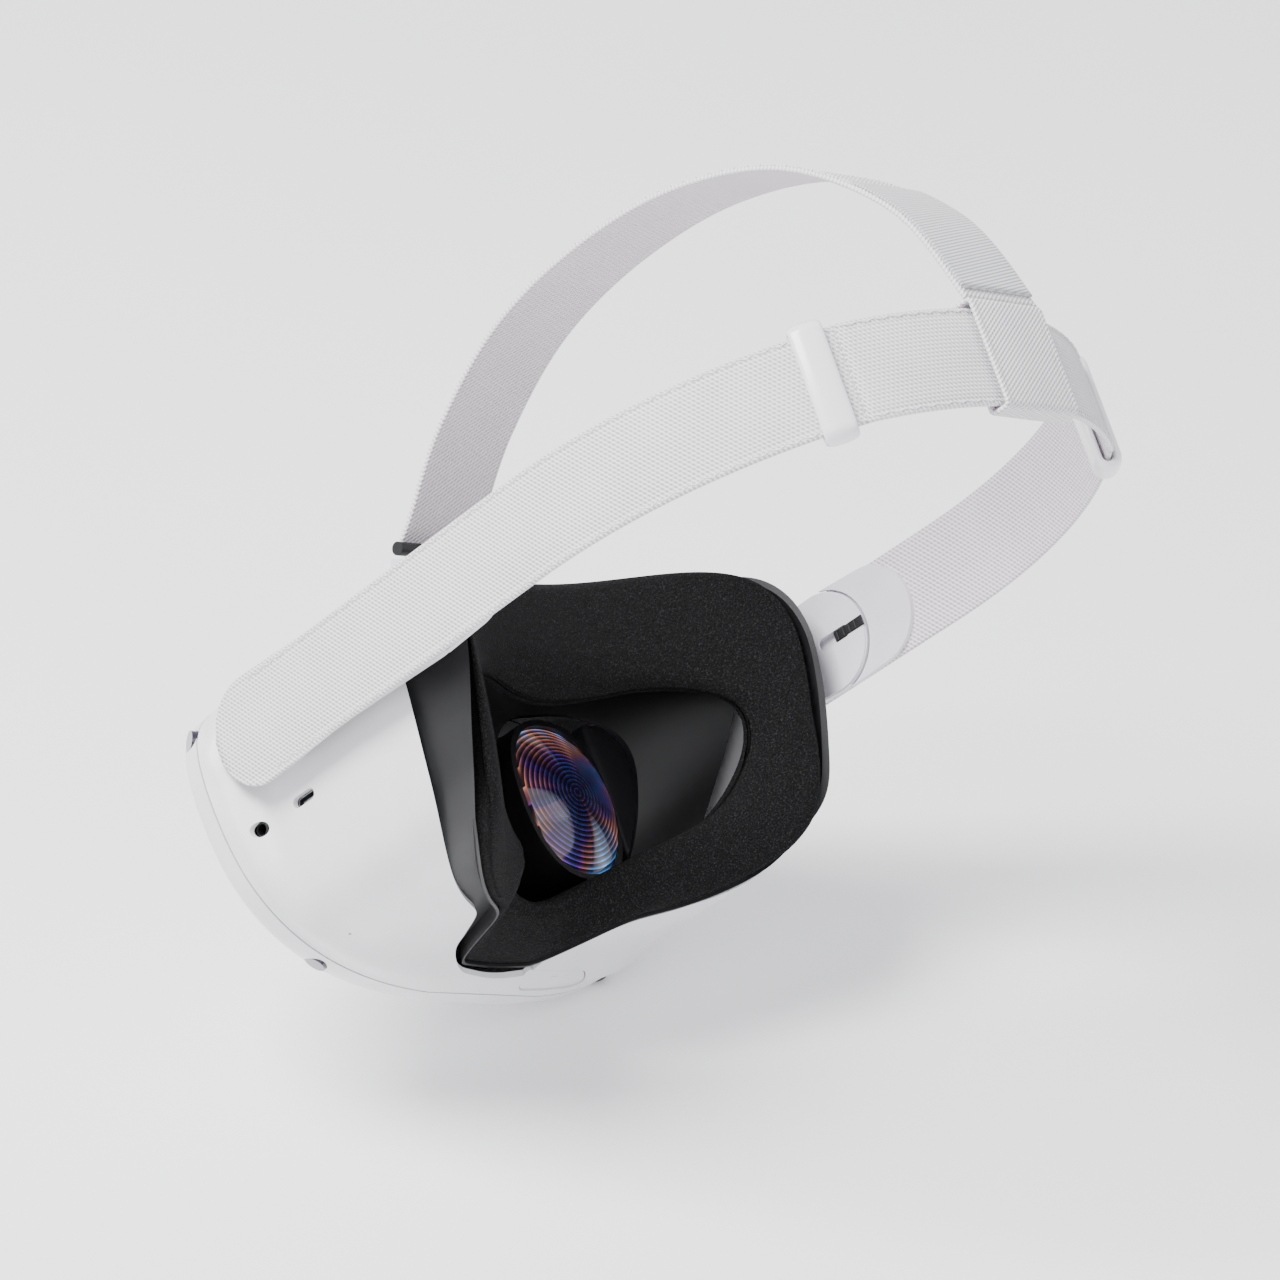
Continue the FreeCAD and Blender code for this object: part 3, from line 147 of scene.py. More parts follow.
SPECK_SCALE = 1900.0
CELL_SCALE = 1500.0
CELL_DEPTH = 0.0006
FOAM_STOPS = [
    (0.4, (0.0025, 0.0025, 0.0027)),
    (0.56, (0.006, 0.006, 0.0063)),
    (0.72, (0.03, 0.029, 0.031)),
]


def foam_material():
    """Open black foam: pale specks on near-black cells."""
    shader = Shader("foam", Roughness=0.95, Specular_IOR_Level=0.15)
    grain = shader.noise(SPECK_SCALE, detail=2.0, roughness=0.7)
    cells = shader.node("ShaderNodeTexVoronoi", {"Vector": shader.coordinates(), "Scale": CELL_SCALE})
    shader.drive("Base Color", shader.ramp(grain, FOAM_STOPS))
    height = shader.math("ADD", grain, cells.outputs["Distance"])
    shader.bump(height, strength=0.8, distance=CELL_DEPTH)
    return shader


WEAVE_DEPTH = 0.0005
THREAD_SHARE = 0.55
THREAD_RATE = 1.15
WEAVE_SWING = 0.32
GROOVE_SHADE_SHARE = 0.85
WEAR_SCALE = 60.0
WEAR_COLOUR = 0.22


def woven(name, light, groove_shade, pitch, lean, sheen=0.3):
    """A twill weave laid along the ribbon's own coordinates, which are in metres.

    Diagonal ribs are pitch apart and lean sideways as they run on. Finer threads cross them. The grooves
    between them are painted darker, as shade.
    """
    shader = Shader(name, Roughness=0.85, Sheen_Weight=sheen, Sheen_Roughness=0.5)
    split = shader.node("ShaderNodeSeparateXYZ", {0: shader.coordinates("UV")})
    along, across = split.outputs[0], split.outputs[1]
    turn = 2 * math.pi / pitch
    diagonal = shader.math("ADD", along, shader.math("MULTIPLY", across, lean))
    rib = shader.math("SINE", shader.math("MULTIPLY", diagonal, turn))
    thread = shader.math("SINE", shader.math("MULTIPLY", across, turn * THREAD_RATE))
    height = shader.math("ADD", rib, shader.math("MULTIPLY", thread, THREAD_SHARE))
    height = shader.math("ADD", shader.math("MULTIPLY", height, WEAVE_SWING), 0.5)
    wear = shader.math("MULTIPLY", shader.noise(WEAR_SCALE), WEAR_COLOUR)
    # Painted shade: the colour darkens with the weave's depth into the grooves; the wear noise adds
    # uneven tone
    mix = shader.math("ADD", shader.math("MULTIPLY", height, GROOVE_SHADE_SHARE), wear)
    shader.drive("Base Color", shader.ramp(mix, [(0.05, groove_shade), (0.7, light)]))
    shader.bump(height, strength=0.8, distance=WEAVE_DEPTH)
    return shader


LENS_X = 31.5
LENS_Z = -21.5
RING_PITCH = 1.6
RING_DEPTH = 0.0003
LENS_REACH = 27.0
# Painted glints on the lens: emitted light in place of reflections. These set their strength, colours,
# swirl and spread.
PAINTED_GLINT_STRENGTH = 9.0
PAINTED_GLINT_STOPS = [
    (0.25, (0.004, 0.002, 0.014)),
    (0.40, (0.06, 0.02, 0.2)),
    (0.54, (0.03, 0.12, 0.45)),
    (0.64, (0.15, 0.05, 0.32)),
    (0.74, (0.45, 0.16, 0.08)),
    (0.86, (0.08, 0.25, 0.6)),
]
RING_STOPS = [(0.2, (0.003, 0.002, 0.006)), (0.9, (0.02, 0.012, 0.045))]
SWIRL_SCALE, SWIRL_SHARE = 0.9, 1.1
DRIFT_SCALE, DRIFT_SHARE = 120, 0.35
RADIUS_SHARE, HUE_OFFSET = 0.3, 0.25
EDGE_POWER, EDGE_LEAST = 4.0, 0.04
RIM_POWER, RIM_LEAST = 2.2, 0.08
SHINE_SCALE, SHINE_POWER = 2.2, 2.0


def painted_glint_colour(shader, radius, direction):
    """Colours of the painted glints, emitted light that swirls round the lens and drifts over it."""
    swirl = shader.math("MULTIPLY", shader.noise(SWIRL_SCALE, vector=direction), SWIRL_SHARE)
    drift = shader.math("MULTIPLY", shader.noise(DRIFT_SCALE), DRIFT_SHARE)
    hue = shader.math("SUBTRACT", shader.math("ADD", swirl, drift), HUE_OFFSET)
    hue = shader.math("ADD", shader.math("MULTIPLY", radius, RADIUS_SHARE), hue)
    return shader.ramp(hue, PAINTED_GLINT_STOPS)


def painted_glint_strength(shader, radius, ring, direction):
    """Painted glints, emitted light, sit on the rings' edges, towards the rim, and come and go round the
    lens.
    """
    edge = shader.math("ADD", shader.math("POWER", ring, EDGE_POWER), EDGE_LEAST)
    rim = shader.math("ADD", shader.math("POWER", radius, RIM_POWER), RIM_LEAST)
    shine = shader.math("POWER", shader.noise(SHINE_SCALE, detail=2.0, vector=direction), SHINE_POWER)
    glow = shader.math("MULTIPLY", shader.math("MULTIPLY", edge, rim), shine)
    return shader.math("MULTIPLY", glow, PAINTED_GLINT_STRENGTH)


def lens_material(side, name):
    """Dark ringed glass with violet, blue and warm painted glints, emitted light, round the lens's own
    middle.
    """
    shader = Shader(f"ringed_lens_{name}", Coat_Weight=1.0, Coat_Roughness=0.03, Specular_IOR_Level=0.8)
    middle = tuple(design(side * LENS_X, 0, LENS_Z))
    offset = shader.vector("SUBTRACT", shader.coordinates(), middle)
    flat = shader.vector("MULTIPLY", offset, (1 / MM, 0, 1 / MM))
    length = shader.vector("LENGTH", flat, output="Value")
    direction = shader.vector("NORMALIZE", flat)
    radius = shader.math("DIVIDE", length, LENS_REACH)
    ring = shader.math("FRACT", shader.math("DIVIDE", length, RING_PITCH))
    shader.drive("Base Color", shader.ramp(ring, RING_STOPS))
    # Painted glints: the lens emits coloured light in place of reflected light
    shader.drive("Emission Color", painted_glint_colour(shader, radius, direction))
    shader.drive("Emission Strength", painted_glint_strength(shader, radius, ring, direction))
    shader.drive("Roughness", shader.span(ring, low=0.04, high=0.16))
    shader.bump(ring, strength=0.25, distance=RING_DEPTH)
    return shader


# speckled: name, two colours, grain, roughness, depth of the bump, metallic
# woven: name, yarn colour on the ribs and the painted shade colour in the grooves, pitch of the ribs,
# lean, sheen
MATERIALS = {
    "white": speckled("satin_white_shell", (0.74, 0.74, 0.75), (0.77, 0.77, 0.78), 2600, 0.38, 0.00004,
                      coat=0.12),
    "buckle": speckled("polished_white_buckle", (0.8, 0.8, 0.82), (0.84, 0.84, 0.86), 1800, 0.22,
                       0.00002, coat=0.5),
    "seal": speckled("seam_seal", (0.035, 0.035, 0.04), (0.05, 0.05, 0.055), 3000, 0.7, 0.00004),
    "light": speckled("light_pipe", (0.7, 0.7, 0.68), (0.8, 0.8, 0.78), 900, 0.25, 0.00001, coat=0.4),
    "steel": speckled("socket_steel", (0.42, 0.42, 0.44), (0.5, 0.5, 0.52), 1400, 0.3, 0.00002, 1.0),
    "alloy": speckled("frame_alloy", (0.55, 0.56, 0.58), (0.62, 0.63, 0.65), 1100, 0.35, 0.00003, 1.0),
    "black": speckled("matte_black_plastic", (0.003, 0.003, 0.0035), (0.005, 0.005, 0.006), 2400, 0.5,
                      0.00006),
    "screen": speckled("screen_glass", (0.004, 0.004, 0.007), (0.008, 0.008, 0.012), 600, 0.1, 0.00001,
                       coat=1.0),
    "board": speckled("circuit_board", (0.01, 0.06, 0.025), (0.015, 0.09, 0.04), 500, 0.45, 0.00005),
    "battery": speckled("battery_wrap", (0.03, 0.03, 0.035), (0.05, 0.05, 0.055), 700, 0.4, 0.00004),
    "camera": speckled("camera_glass", (0.012, 0.006, 0.022), (0.02, 0.01, 0.035), 900, 0.08, 0.00001,
                       coat=1.0),
    "shroud": speckled("satin_rubber", (0.007, 0.007, 0.0075), (0.010, 0.010, 0.011), 2200, 0.42,
                       0.00005),
    "grey": speckled("satin_grey_plastic", (0.68, 0.66, 0.71), (0.72, 0.70, 0.75), 2400, 0.42, 0.00005,
                     coat=0.1),
    "foam": foam_material(),
    "twill": woven("white_twill", (0.84, 0.83, 0.84), (0.36, 0.34, 0.37), 0.0015, 0.8),
    "lining": woven("lavender_twill", (0.84, 0.77, 0.82), (0.40, 0.34, 0.39), 0.0016, -0.8),
    "nap": woven("hook_and_loop_nap", (0.62, 0.62, 0.64), (0.30, 0.30, 0.32), 0.0012, 0.3, 0.6),
    "thread": speckled("sewing_thread", (0.72, 0.71, 0.73), (0.8, 0.79, 0.81), 3000, 0.75, 0.0001),
}

FINISHES = {
    "white": ["front_faceplate", "rear_housing", "power_button", "volume_rocker"],
    "seal": ["parting_gasket"],
    "light": ["status_light"],
    "steel": ["usb_c_socket", "lens_guides", "frame_screws", "pivot_pin_left", "pivot_pin_right"],
    "alloy": ["mid_frame", "heat_sink"],
    "black": ["audio_socket", "fan_housing", "fan_rotor", "face_panel", "lens_carrier_left",
              "lens_carrier_right", "spacing_pinion", "bracket_arch", "speaker_left", "speaker_right"],
    "screen": ["display_panel", "proximity_sensor"],
    "board": ["main_board"],
    "battery": ["battery"],
    "camera": ["camera_upper_left", "camera_upper_right", "camera_lower_left", "camera_lower_right"],
    "shroud": ["interface_frame"],
    "grey": ["arm_left", "arm_right", "arm_cover_left", "arm_cover_right", "strap_clip_left",
             "strap_clip_right", "bracket_legs"],
}


def repaint(node, shader):
    """Gives a CAD node one material in place of its own."""
    node.data.materials.clear()
    node.data.materials.append(shader.material)


def finish_nodes():
    """Gives every carried-over CAD node its material."""
    for finish, names in FINISHES.items():
        for name in names:
            repaint(NODES[name], MATERIALS[finish])
    for side, name in SIDES:
        repaint(NODES[f"lens_{name}"], lens_material(side, name))


# ---------------------------------------------------------------- mesh helpers

def new_object(name, mesh, materials=()):
    piece = bpy.data.objects.new(name, mesh)
    bpy.context.scene.collection.objects.link(piece)
    for material in materials:
        mesh.materials.append(MATERIALS[material].material)
    return piece


def grid_mesh(name, rows, uvs=None, caps=False, material_of=None):
    """A mesh of rows of points, each row a ring round the piece, with one UV for each point."""
    mesh = bpy.data.meshes.new(name)
    count = len(rows[0])
    faces = []
    for i in range(len(rows) - 1):
        for j in range(count):
            k = (j + 1) % count
            faces.append((i * count + j, i * count + k, (i + 1) * count + k, (i + 1) * count + j))
    if caps:
        faces.append(tuple(reversed(range(count))))
        faces.append(tuple(range((len(rows) - 1) * count, len(rows) * count)))
    mesh.from_pydata([point for row in rows for point in row], [], faces)
    if uvs:
        layer = mesh.uv_layers.new(name="weave")
        flat = [uv for row in uvs for uv in row]
        for loop in mesh.loops:
            layer.data[loop.index].uv = flat[loop.vertex_index]
    for polygon in mesh.polygons:
        polygon.use_smooth = True
        if material_of:
            polygon.material_index = material_of(polygon.index % count)
    mesh.validate()
    return mesh


WELD_DISTANCE = MM / 100


def close_seams(piece):
    """Joins the first and last rows of a closed piece."""
    shape = bmesh.new()
    shape.from_mesh(piece.data)
    bmesh.ops.remove_doubles(shape, verts=shape.verts, dist=WELD_DISTANCE)
    bmesh.ops.recalc_face_normals(shape, faces=shape.faces)
    shape.to_mesh(piece.data)
    shape.free()


def catmull_rom(corners, steps):
    """Points on a smooth curve from the second corner, up to but without the last corner but one."""
    points = []
    for quad in zip(corners, corners[1:], corners[2:], corners[3:]):
        a, b, c, d = (Vector(corner) for corner in quad)
        for step in range(steps):
            t = step / steps
            points.append(0.5 * (2 * b + (c - a) * t + (2 * a - 5 * b + 4 * c - d) * t ** 2
                                 + (3 * b - a - 3 * c + d) * t ** 3))
    return points


def signed_power(value, power):
    """One coordinate of a superellipse of that power, from a cosine or sine."""
    return math.copysign(abs(value) ** (2 / power), value)


SELVAGE_INSET = 2.2
SELVAGE_HALF_WIDTH = 0.5
EDGE_SHARE = 0.42
GROOVE_SHARE = 0.09
EDGE_ANGLES = (0.6, 1.1, math.pi / 2)
FACE_RIPPLE = 0.02
FACE_SHARE = 0.12
FACE_POINTS = 9
INNER_SHARES = (-1, -0.6, -0.2, 0.2, 0.6, 1)
LINING_FROM = 0.7


def ribbon_section(half_height, thickness):
    """Points round a ribbon's section as (across, depth), with soft edges and selvage grooves."""
    edge = thickness * EDGE_SHARE
    flat = half_height - SELVAGE_INSET
    groove = [(SELVAGE_HALF_WIDTH, 0.0), (0.0, thickness * GROOVE_SHARE), (-SELVAGE_HALF_WIDTH, 0.0)]
    face = [(half_height - edge, 0.0)]
    face += [(flat + across, depth) for across, depth in groove]
    face += [(flat * (1 - FACE_SHARE * i), -FACE_RIPPLE * math.sin(i)) for i in range(1, FACE_POINTS)]
    face += [(across - flat, depth) for across, depth in groove]
    face.append((edge - half_height, 0.0))
    corner = [(edge * (1 - math.sin(a)) - half_height, edge * (1 - math.cos(a))) for a in EDGE_ANGLES]
    lower = [(-half_height, thickness - edge)]
    lower += [(edge * (1 - math.cos(a)) - half_height, thickness - edge * (1 - math.sin(a)))
              for a in EDGE_ANGLES]
    inner = [(flat * share, thickness) for share in INNER_SHARES]
    upper = [(-across, depth) for across, depth in reversed(corner + lower)]
    return face + corner + lower + inner + upper


def ribbon(name, path, heights, thickness, materials):
    """A woven strap with an outer and an inner material. path gives (point, outward) pairs."""
    rows, uvs = [], []
    length = 0.0
    last = path[0][0]
    for index, ((point, outward), half_height) in enumerate(zip(path, heights)):
        ahead = path[min(index + 1, len(path) - 1)][0] - path[max(index - 1, 0)][0]
        up = outward.cross(ahead).normalized()
        length += (point - last).length
        last = point
        section = ribbon_section(half_height, thickness)
        rows.append([point + up * (across * MM) - outward * (depth * MM) for across, depth in section])
        uvs.append([(length, across * MM) for across, _ in section])

    def material_of(column):
        return 1 if section[column][1] >= thickness * LINING_FROM else 0

    return new_object(name, grid_mesh(name, rows, uvs, caps=True, material_of=material_of), materials)


# ---------------------------------------------------------------- straps

SIDE_X = 92.07
SIDE_SLOPE = 0.036
SIDE_Y = range(-17, 127, 3)
ARC_CENTRE = (-41.0, 130.75)
ARC_RADIUS = 137.7
ARC_DEGREES = range(-2, 45, 2)
# The side strap runs on a little way past the start of the rear strap, so no gap shows between them
SIDE_END_DEGREES = 45.3
SIDE_THICKNESS = 1.5
ARM_RADIUS = 17.5
BAND_HALF = 16.3
BAND_STARTS_Y = 30.0


def arc_place(side, radians):
    """A point on the arc behind a side strap's straight run, in the design's units, and its outward."""
    outward = Vector((side * math.cos(radians), math.sin(radians), 0))
    centre = Vector((side * ARC_CENTRE[0], ARC_CENTRE[1], 0))
    return centre + outward * ARC_RADIUS, outward


def side_path(side):
    """Points and outward directions along one side strap, from the arm round to the back."""
    straight = Vector((side, -SIDE_SLOPE, 0)).normalized()
    path = [(design(side * (SIDE_X + SIDE_SLOPE * y), y, 0), straight) for y in SIDE_Y]
    for degrees in [*ARC_DEGREES, SIDE_END_DEGREES]:
        point, outward = arc_place(side, math.radians(degrees))
        path.append((design(*point), outward))
    return path


def side_heights(path):
    """The round front end and the plain band behind it."""
    heights = []
    for point, _ in path:
        y = in_design(point).y
        if y < 0:
            heights.append(math.sqrt(ARM_RADIUS ** 2 - y ** 2))
        else:
            heights.append(ARM_RADIUS - min(1.0, y / BAND_STARTS_Y) * (ARM_RADIUS - BAND_HALF))
    return heights


REAR_CENTRE_Y = 150.4
REAR_RADIUS = 96.6
REAR_DEGREES = range(-36, 37, 2)
REAR_THICKNESS = 2.0


def rear_path():
    """The band round the back of the head."""
    path = []
    for degrees in REAR_DEGREES:
        angle = math.radians(degrees)
        outward = Vector((math.sin(angle), math.cos(angle), 0))
        path.append((design(*(Vector((0, REAR_CENTRE_Y, 0)) + outward * REAR_RADIUS)), outward))
    return path


# The top strap's outer face from the side, as (y, z), from the front bracket to the rear loop
TOP_PROFILE = [(14, 61.3), (21, 66.5), (45, 87), (79, 104), (119, 110), (162, 106), (203, 89), (235, 56),
               (248.4, 18.4)]
PROFILE_STEPS = 14
TOP_HALF = 16.5
TOP_THICKNESS = 1.8
TAB_Z = (20.1, 72.2)
TAB_FROM_Y = 200.0
TAB_LIFT = 0.95
TAB_THICKNESS = 0.9
TAB_INSET = 0.4


def top_path():
    """Points and outward directions along the strap over the head."""
    ends = TOP_PROFILE[:1], TOP_PROFILE[-1:]
    points = catmull_rom(ends[0] + TOP_PROFILE + ends[1], PROFILE_STEPS)
    points.append(Vector(TOP_PROFILE[-1]))
    path = []
    for index, point in enumerate(points):
        ahead = points[min(index + 1, len(points) - 1)] - points[max(index - 1, 0)]
        path.append((design(0, point.x, point.y), Vector((0, -ahead.y, ahead.x)).normalized()))
    return path


def tab_path(path):
    """The part of the top strap's path under the hook-and-loop tab, lifted onto the strap's face."""
    lifted = []
    for point, outward in path:
        place = in_design(point)
        if TAB_Z[0] < place.z < TAB_Z[1] and place.y > TAB_FROM_Y:
            lifted.append((point + outward * (TAB_LIFT * MM), outward))
    return lifted


STITCH_PITCH = 2.6
STITCH_SHARE = 0.82
STITCH_RISE = 0.18
THREAD_RADIUS = 0.22
BAND_STITCHES = {"inset": 1.3, "swing": 0.35}
TOP_STITCHES = {"inset": 1.2, "swing": 0.6}
STITCHES_FROM_Y = 4.0


def resample(path, pitch):
    """Even steps along a path, as (point, outward, height direction)."""
    samples = []
    distance = 0.0
    for (start, outward), (end, _) in zip(path, path[1:]):
        length = (end - start).length
        up = outward.cross(end - start).normalized()
        while distance < length:
            samples.append((start.lerp(end, distance / length), outward, up))
            distance += pitch * MM
        distance -= length
    return samples


def stitches(name, path, half_height, inset, swing):
    """A zigzag row of short raised threads along each edge of a strap."""
    curve = bpy.data.curves.new(name, "CURVE")
    curve.dimensions = "3D"
    curve.bevel_depth = THREAD_RADIUS * MM
    curve.bevel_resolution = 1
    curve.materials.append(MATERIALS["thread"].material)
    samples = resample(path, STITCH_PITCH)
    for row in (inset - half_height, half_height - inset):
        for index, ((start, outward, up), (end, *_)) in enumerate(zip(samples, samples[1:])):
            lean = swing if index % 2 else -swing
            first = start + up * ((row + lean) * MM)
            last = start.lerp(end, STITCH_SHARE) + up * ((row - lean) * MM)
            middle = (first + last) / 2 + outward * (STITCH_RISE * MM)
            spline = curve.splines.new("POLY")
            spline.points.add(2)
            for place, corner in zip(spline.points, (first, middle, last)):
                place.co = (*corner, 1)
    holder = bpy.data.objects.new(name, curve)
    mesh = bpy.data.meshes.new_from_object(holder)
    bpy.data.objects.remove(holder)
    threads = new_object(name, mesh)
    return threads


def build_side_strap(side, name):
    path = side_path(side)
    strap = ribbon(f"{name}_side_webbing", path, side_heights(path), SIDE_THICKNESS, ["twill", "lining"])
    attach(strap, "harness")
    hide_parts(f"side_strap_{name}")
    band = [(point, outward) for point, outward in path if in_design(point).y > STITCHES_FROM_Y]
    threads = stitches(f"{name}_side_stitches", band, BAND_HALF, **BAND_STITCHES)
    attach(threads, "harness")


def build_rear_strap():
    path = rear_path()
    strap = ribbon("rear_webbing", path, [BAND_HALF] * len(path), REAR_THICKNESS, ["twill", "lining"])
    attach(strap, "harness")
    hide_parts("rear_strap")
    threads = stitches("rear_stitches", path, BAND_HALF, **BAND_STITCHES)
    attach(threads, "harness")


def build_top_strap():
    """The strap over the head, curved from the visor to the harness, and its end tab."""
    path = top_path()
    strap = ribbon("top_webbing", path, [TOP_HALF] * len(path), TOP_THICKNESS, ["twill", "lining"])
    threads = stitches("top_stitches", path, TOP_HALF, **TOP_STITCHES)
    for piece in (strap, threads):
        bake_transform(piece)
    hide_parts("top_strap")
    under = tab_path(path)
    heights = [TOP_HALF - TAB_INSET] * len(under)
    tab = ribbon("strap_end_tab", under, heights, TAB_THICKNESS, ["nap", "lining"])
    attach(tab, "harness")
    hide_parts("strap_tab")


BUCKLE_ANGLE = math.radians(41.4)
BUCKLE_HALF_HEIGHT = 18.2
BUCKLE_RADIUS = 2.95
BUCKLE_OFFSET = -0.85
BUCKLE_HALF_WIDTH = 5.25
BUCKLE_HALF_THICKNESS = 1.6
BUCKLE_POWER = 2.5
BUCKLE_STEPS = 16
BUCKLE_SECTION = 28


def buckle_loop():
    """A stadium round the strap, as (depth, height) points with their outward directions."""
    loop = []
    reach = BUCKLE_HALF_HEIGHT - BUCKLE_RADIUS
    for end, first in ((1, 0), (-1, 180)):
        for step in range(BUCKLE_STEPS + 1):
            angle = math.radians(first + 180 * step / BUCKLE_STEPS)
            outward = Vector((math.cos(angle), math.sin(angle)))
            loop.append((outward * BUCKLE_RADIUS + Vector((BUCKLE_OFFSET, end * reach)), outward))
    return loop


def build_buckle(side, name):
    """A polished buckle with a pill-shaped section, closed round the strap."""
    centre, outward = arc_place(side, BUCKLE_ANGLE)
    along = UP.cross(outward)
    rows = []
    for place, normal in buckle_loop():
        row = []
        for step in range(BUCKLE_SECTION):
            angle = 2 * math.pi * step / BUCKLE_SECTION
            swing = signed_power(math.cos(angle), BUCKLE_POWER) * BUCKLE_HALF_WIDTH
            spot = place + normal * (signed_power(math.sin(angle), BUCKLE_POWER) * BUCKLE_HALF_THICKNESS)
            row.append(design(*(centre + outward * spot.x + UP * spot.y + along * swing)))
        rows.append(row)
    rows.append(rows[0])
    buckle = new_object(f"{name}_buckle_ring", grid_mesh(f"{name}_buckle_ring", rows), ["buckle"])
    close_seams(buckle)
    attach(buckle, f"{name}_buckle")
    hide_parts(f"slider_{name}")


GRILLE_PLACE = (91.0, 88.5)
GRILLE_SIZE = (0.5, 12.4, 3.4)
GRILLE_BARS = 5
BAR_SHARES = (1.8, 0.45, 0.9)
GRILLE_BEVEL = 0.15


def build_slot_grille(side, name):
    """Dark mesh seen through the sound slot of an arm: a rounded plate with raised bars."""
    x, y = GRILLE_PLACE
    depth, length, height = GRILLE_SIZE
    pitch = length / GRILLE_BARS
    bar = (depth * BAR_SHARES[0], pitch * BAR_SHARES[1], height * BAR_SHARES[2])
    plates = [(y, GRILLE_SIZE)]
    plates += [(y + (index - (GRILLE_BARS - 1) / 2) * pitch, bar) for index in range(GRILLE_BARS)]
    shape = bmesh.new()
    for middle, size in plates:
        place = Matrix.Translation(design(side * (x + SIDE_SLOPE * (middle - y)), middle, 0))
        bmesh.ops.create_cube(shape, size=1, matrix=place @ Matrix.Diagonal(Vector(size) * MM).to_4x4())
    mesh = bpy.data.meshes.new(f"{name}_sound_grille")
    shape.to_mesh(mesh)
    shape.free()
    grille = new_object(f"{name}_sound_grille", mesh, ["black"])
    bevel = grille.modifiers.new("round", "BEVEL")
    bevel.width = GRILLE_BEVEL * MM
    bevel.segments = 2
    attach(grille, "harness")


LOOP_Y = (241.0, 249.4)
LOOP_HEIGHT = 18.6
LOOP_CORNER = 2.4
LOOP_CORNER_STEPS = 4
LOOP_THICKNESS = 1.6


def loop_path():
    """Once round the webbing loop that holds the rear strap, from the middle of its front face."""
    front, back = LOOP_Y[0] + LOOP_CORNER, LOOP_Y[1] - LOOP_CORNER
    top = LOOP_HEIGHT - LOOP_CORNER
    forward = Vector((0, -1, 0))
    path = [(design(0, LOOP_Y[0], 0), forward), (design(0, LOOP_Y[0], top), forward)]
    for y, z, start in ((front, top, 180), (back, top, 90), (back, -top, 0), (front, -top, -90)):
        for step in range(LOOP_CORNER_STEPS + 1):
            angle = math.radians(start - 90 * step / LOOP_CORNER_STEPS)
            outward = Vector((0, math.cos(angle), math.sin(angle)))
            path.append((design(0, y, z) + outward * LOOP_CORNER * MM, outward))
    path.append(path[0])
    return path


def build_loop():
    path = loop_path()
    loop = ribbon("rear_loop", path, [TOP_HALF] * len(path), LOOP_THICKNESS, ["twill", "lining"])
    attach(loop, "harness")
    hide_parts("strap_loop")


# ---------------------------------------------------------------- foam

FOAM_HALF_WIDTH = 76.8
FOAM_TOP = 34.0
FOAM_BOTTOM = -68.2
FOAM_WIDEST = -21.0
FOAM_POWER = 5.0
FOAM_STEPS = 300
OUTLINE_STEPS = 720
OPENING_STEPS = 40
NOSE_HEIGHT = -62.0
BROW_HEIGHT = 5.0
TEMPLE = 84.0
TEMPLE_BULGE = 6.0
# How much a face curve gains beside the nose, and between which two half widths
BRIDGE = (27.6, 14.0, 33.0)
EYE_OUTLINE = [(0, -5), (37, -4), (58, -12), (62, -27), (53, -43), (36, -49.5), (18, -53.5), (0, -58)]


def ease(share):
    """0 up to 0, 1 from 1 on, smooth between them."""
    share = min(max(share, 0.0), 1.0)
    return share * share * (3 - 2 * share)


def face_depth(x, share, nose, cheek, brow, temple):
    """How far back a face curve lies; share is 0 at the nose and 1 at the brow."""
    gain, start, end = BRIDGE
    low = nose + gain * ease((abs(x) - start) / (end - start)) + cheek * (x / TEMPLE) ** 2
    high = brow + temple * (x / TEMPLE) ** 2
    return low * (1 - share) + high * share


def foam_root(x, z):
    """The face of the shroud's flange, where the foam sits."""
    share = ease((z - NOSE_HEIGHT) / (BROW_HEIGHT - NOSE_HEIGHT))
    return face_depth(x, share, nose=-17.0, cheek=58.3, brow=37.0, temple=50.0)


def foam_face(x, z):
    """The face of the foam that meets the wearer."""
    share = math.sqrt(min(max((z - FOAM_BOTTOM) / (BROW_HEIGHT - FOAM_BOTTOM), 0.0), 1.0))
    bulge = TEMPLE_BULGE * (x / TEMPLE) ** 4
    return bulge + face_depth(x, share, nose=-13.0, cheek=58.3, brow=48.0, temple=35.0)


def evenly(points, count):
    """count points evenly spaced in length round a closed run of points."""
    ring = points + [points[0]]
    lengths = [0.0]
    for start, end in zip(ring, ring[1:]):
        lengths.append(lengths[-1] + (end - start).length)
    result = []
    place = 0
    for index in range(count):
        target = lengths[-1] * index / count
        while lengths[place + 1] < target:
            place += 1
        share = (target - lengths[place]) / (lengths[place + 1] - lengths[place])
        result.append(ring[place].lerp(ring[place + 1], share))
    return result


def foam_outline():
    """The foam's outer outline, from the top middle round by the left."""
    points = []
    for step in range(OUTLINE_STEPS):
        angle = 2 * math.pi * step / OUTLINE_STEPS
        half = FOAM_TOP - FOAM_WIDEST if math.cos(angle) > 0 else FOAM_WIDEST - FOAM_BOTTOM
        points.append(Vector((FOAM_HALF_WIDTH * signed_power(math.sin(angle), FOAM_POWER),
                              FOAM_WIDEST + half * signed_power(math.cos(angle), FOAM_POWER))))
    return evenly(points, FOAM_STEPS)


def foam_opening():
    """The outline of the opening for the eyes, from the top middle round by the left."""
    ring = EYE_OUTLINE + [(-x, z) for x, z in reversed(EYE_OUTLINE[1:-1])]
    return evenly(catmull_rom(ring[-1:] + ring + ring[:2], OPENING_STEPS), FOAM_STEPS)


FOAM_GAP = 0.1
LEAST_HEIGHT = 3.0
FOAM_RADIUS = 8.0
RADIUS_ACROSS = 0.36
RADIUS_HEIGHT = 0.7
FOAM_CROWN = 0.8
FACE_STEPS = 8
ARC_POINTS = 6
FOOT_INSET = 0.6
FOOT_STEPS = 5
# The foam's side wall from its foot up, as (inset from the outline, share of the height)
FOOT = [(FOOT_INSET, 0.0), (0.15, 0.25), (0.0, 0.5)]


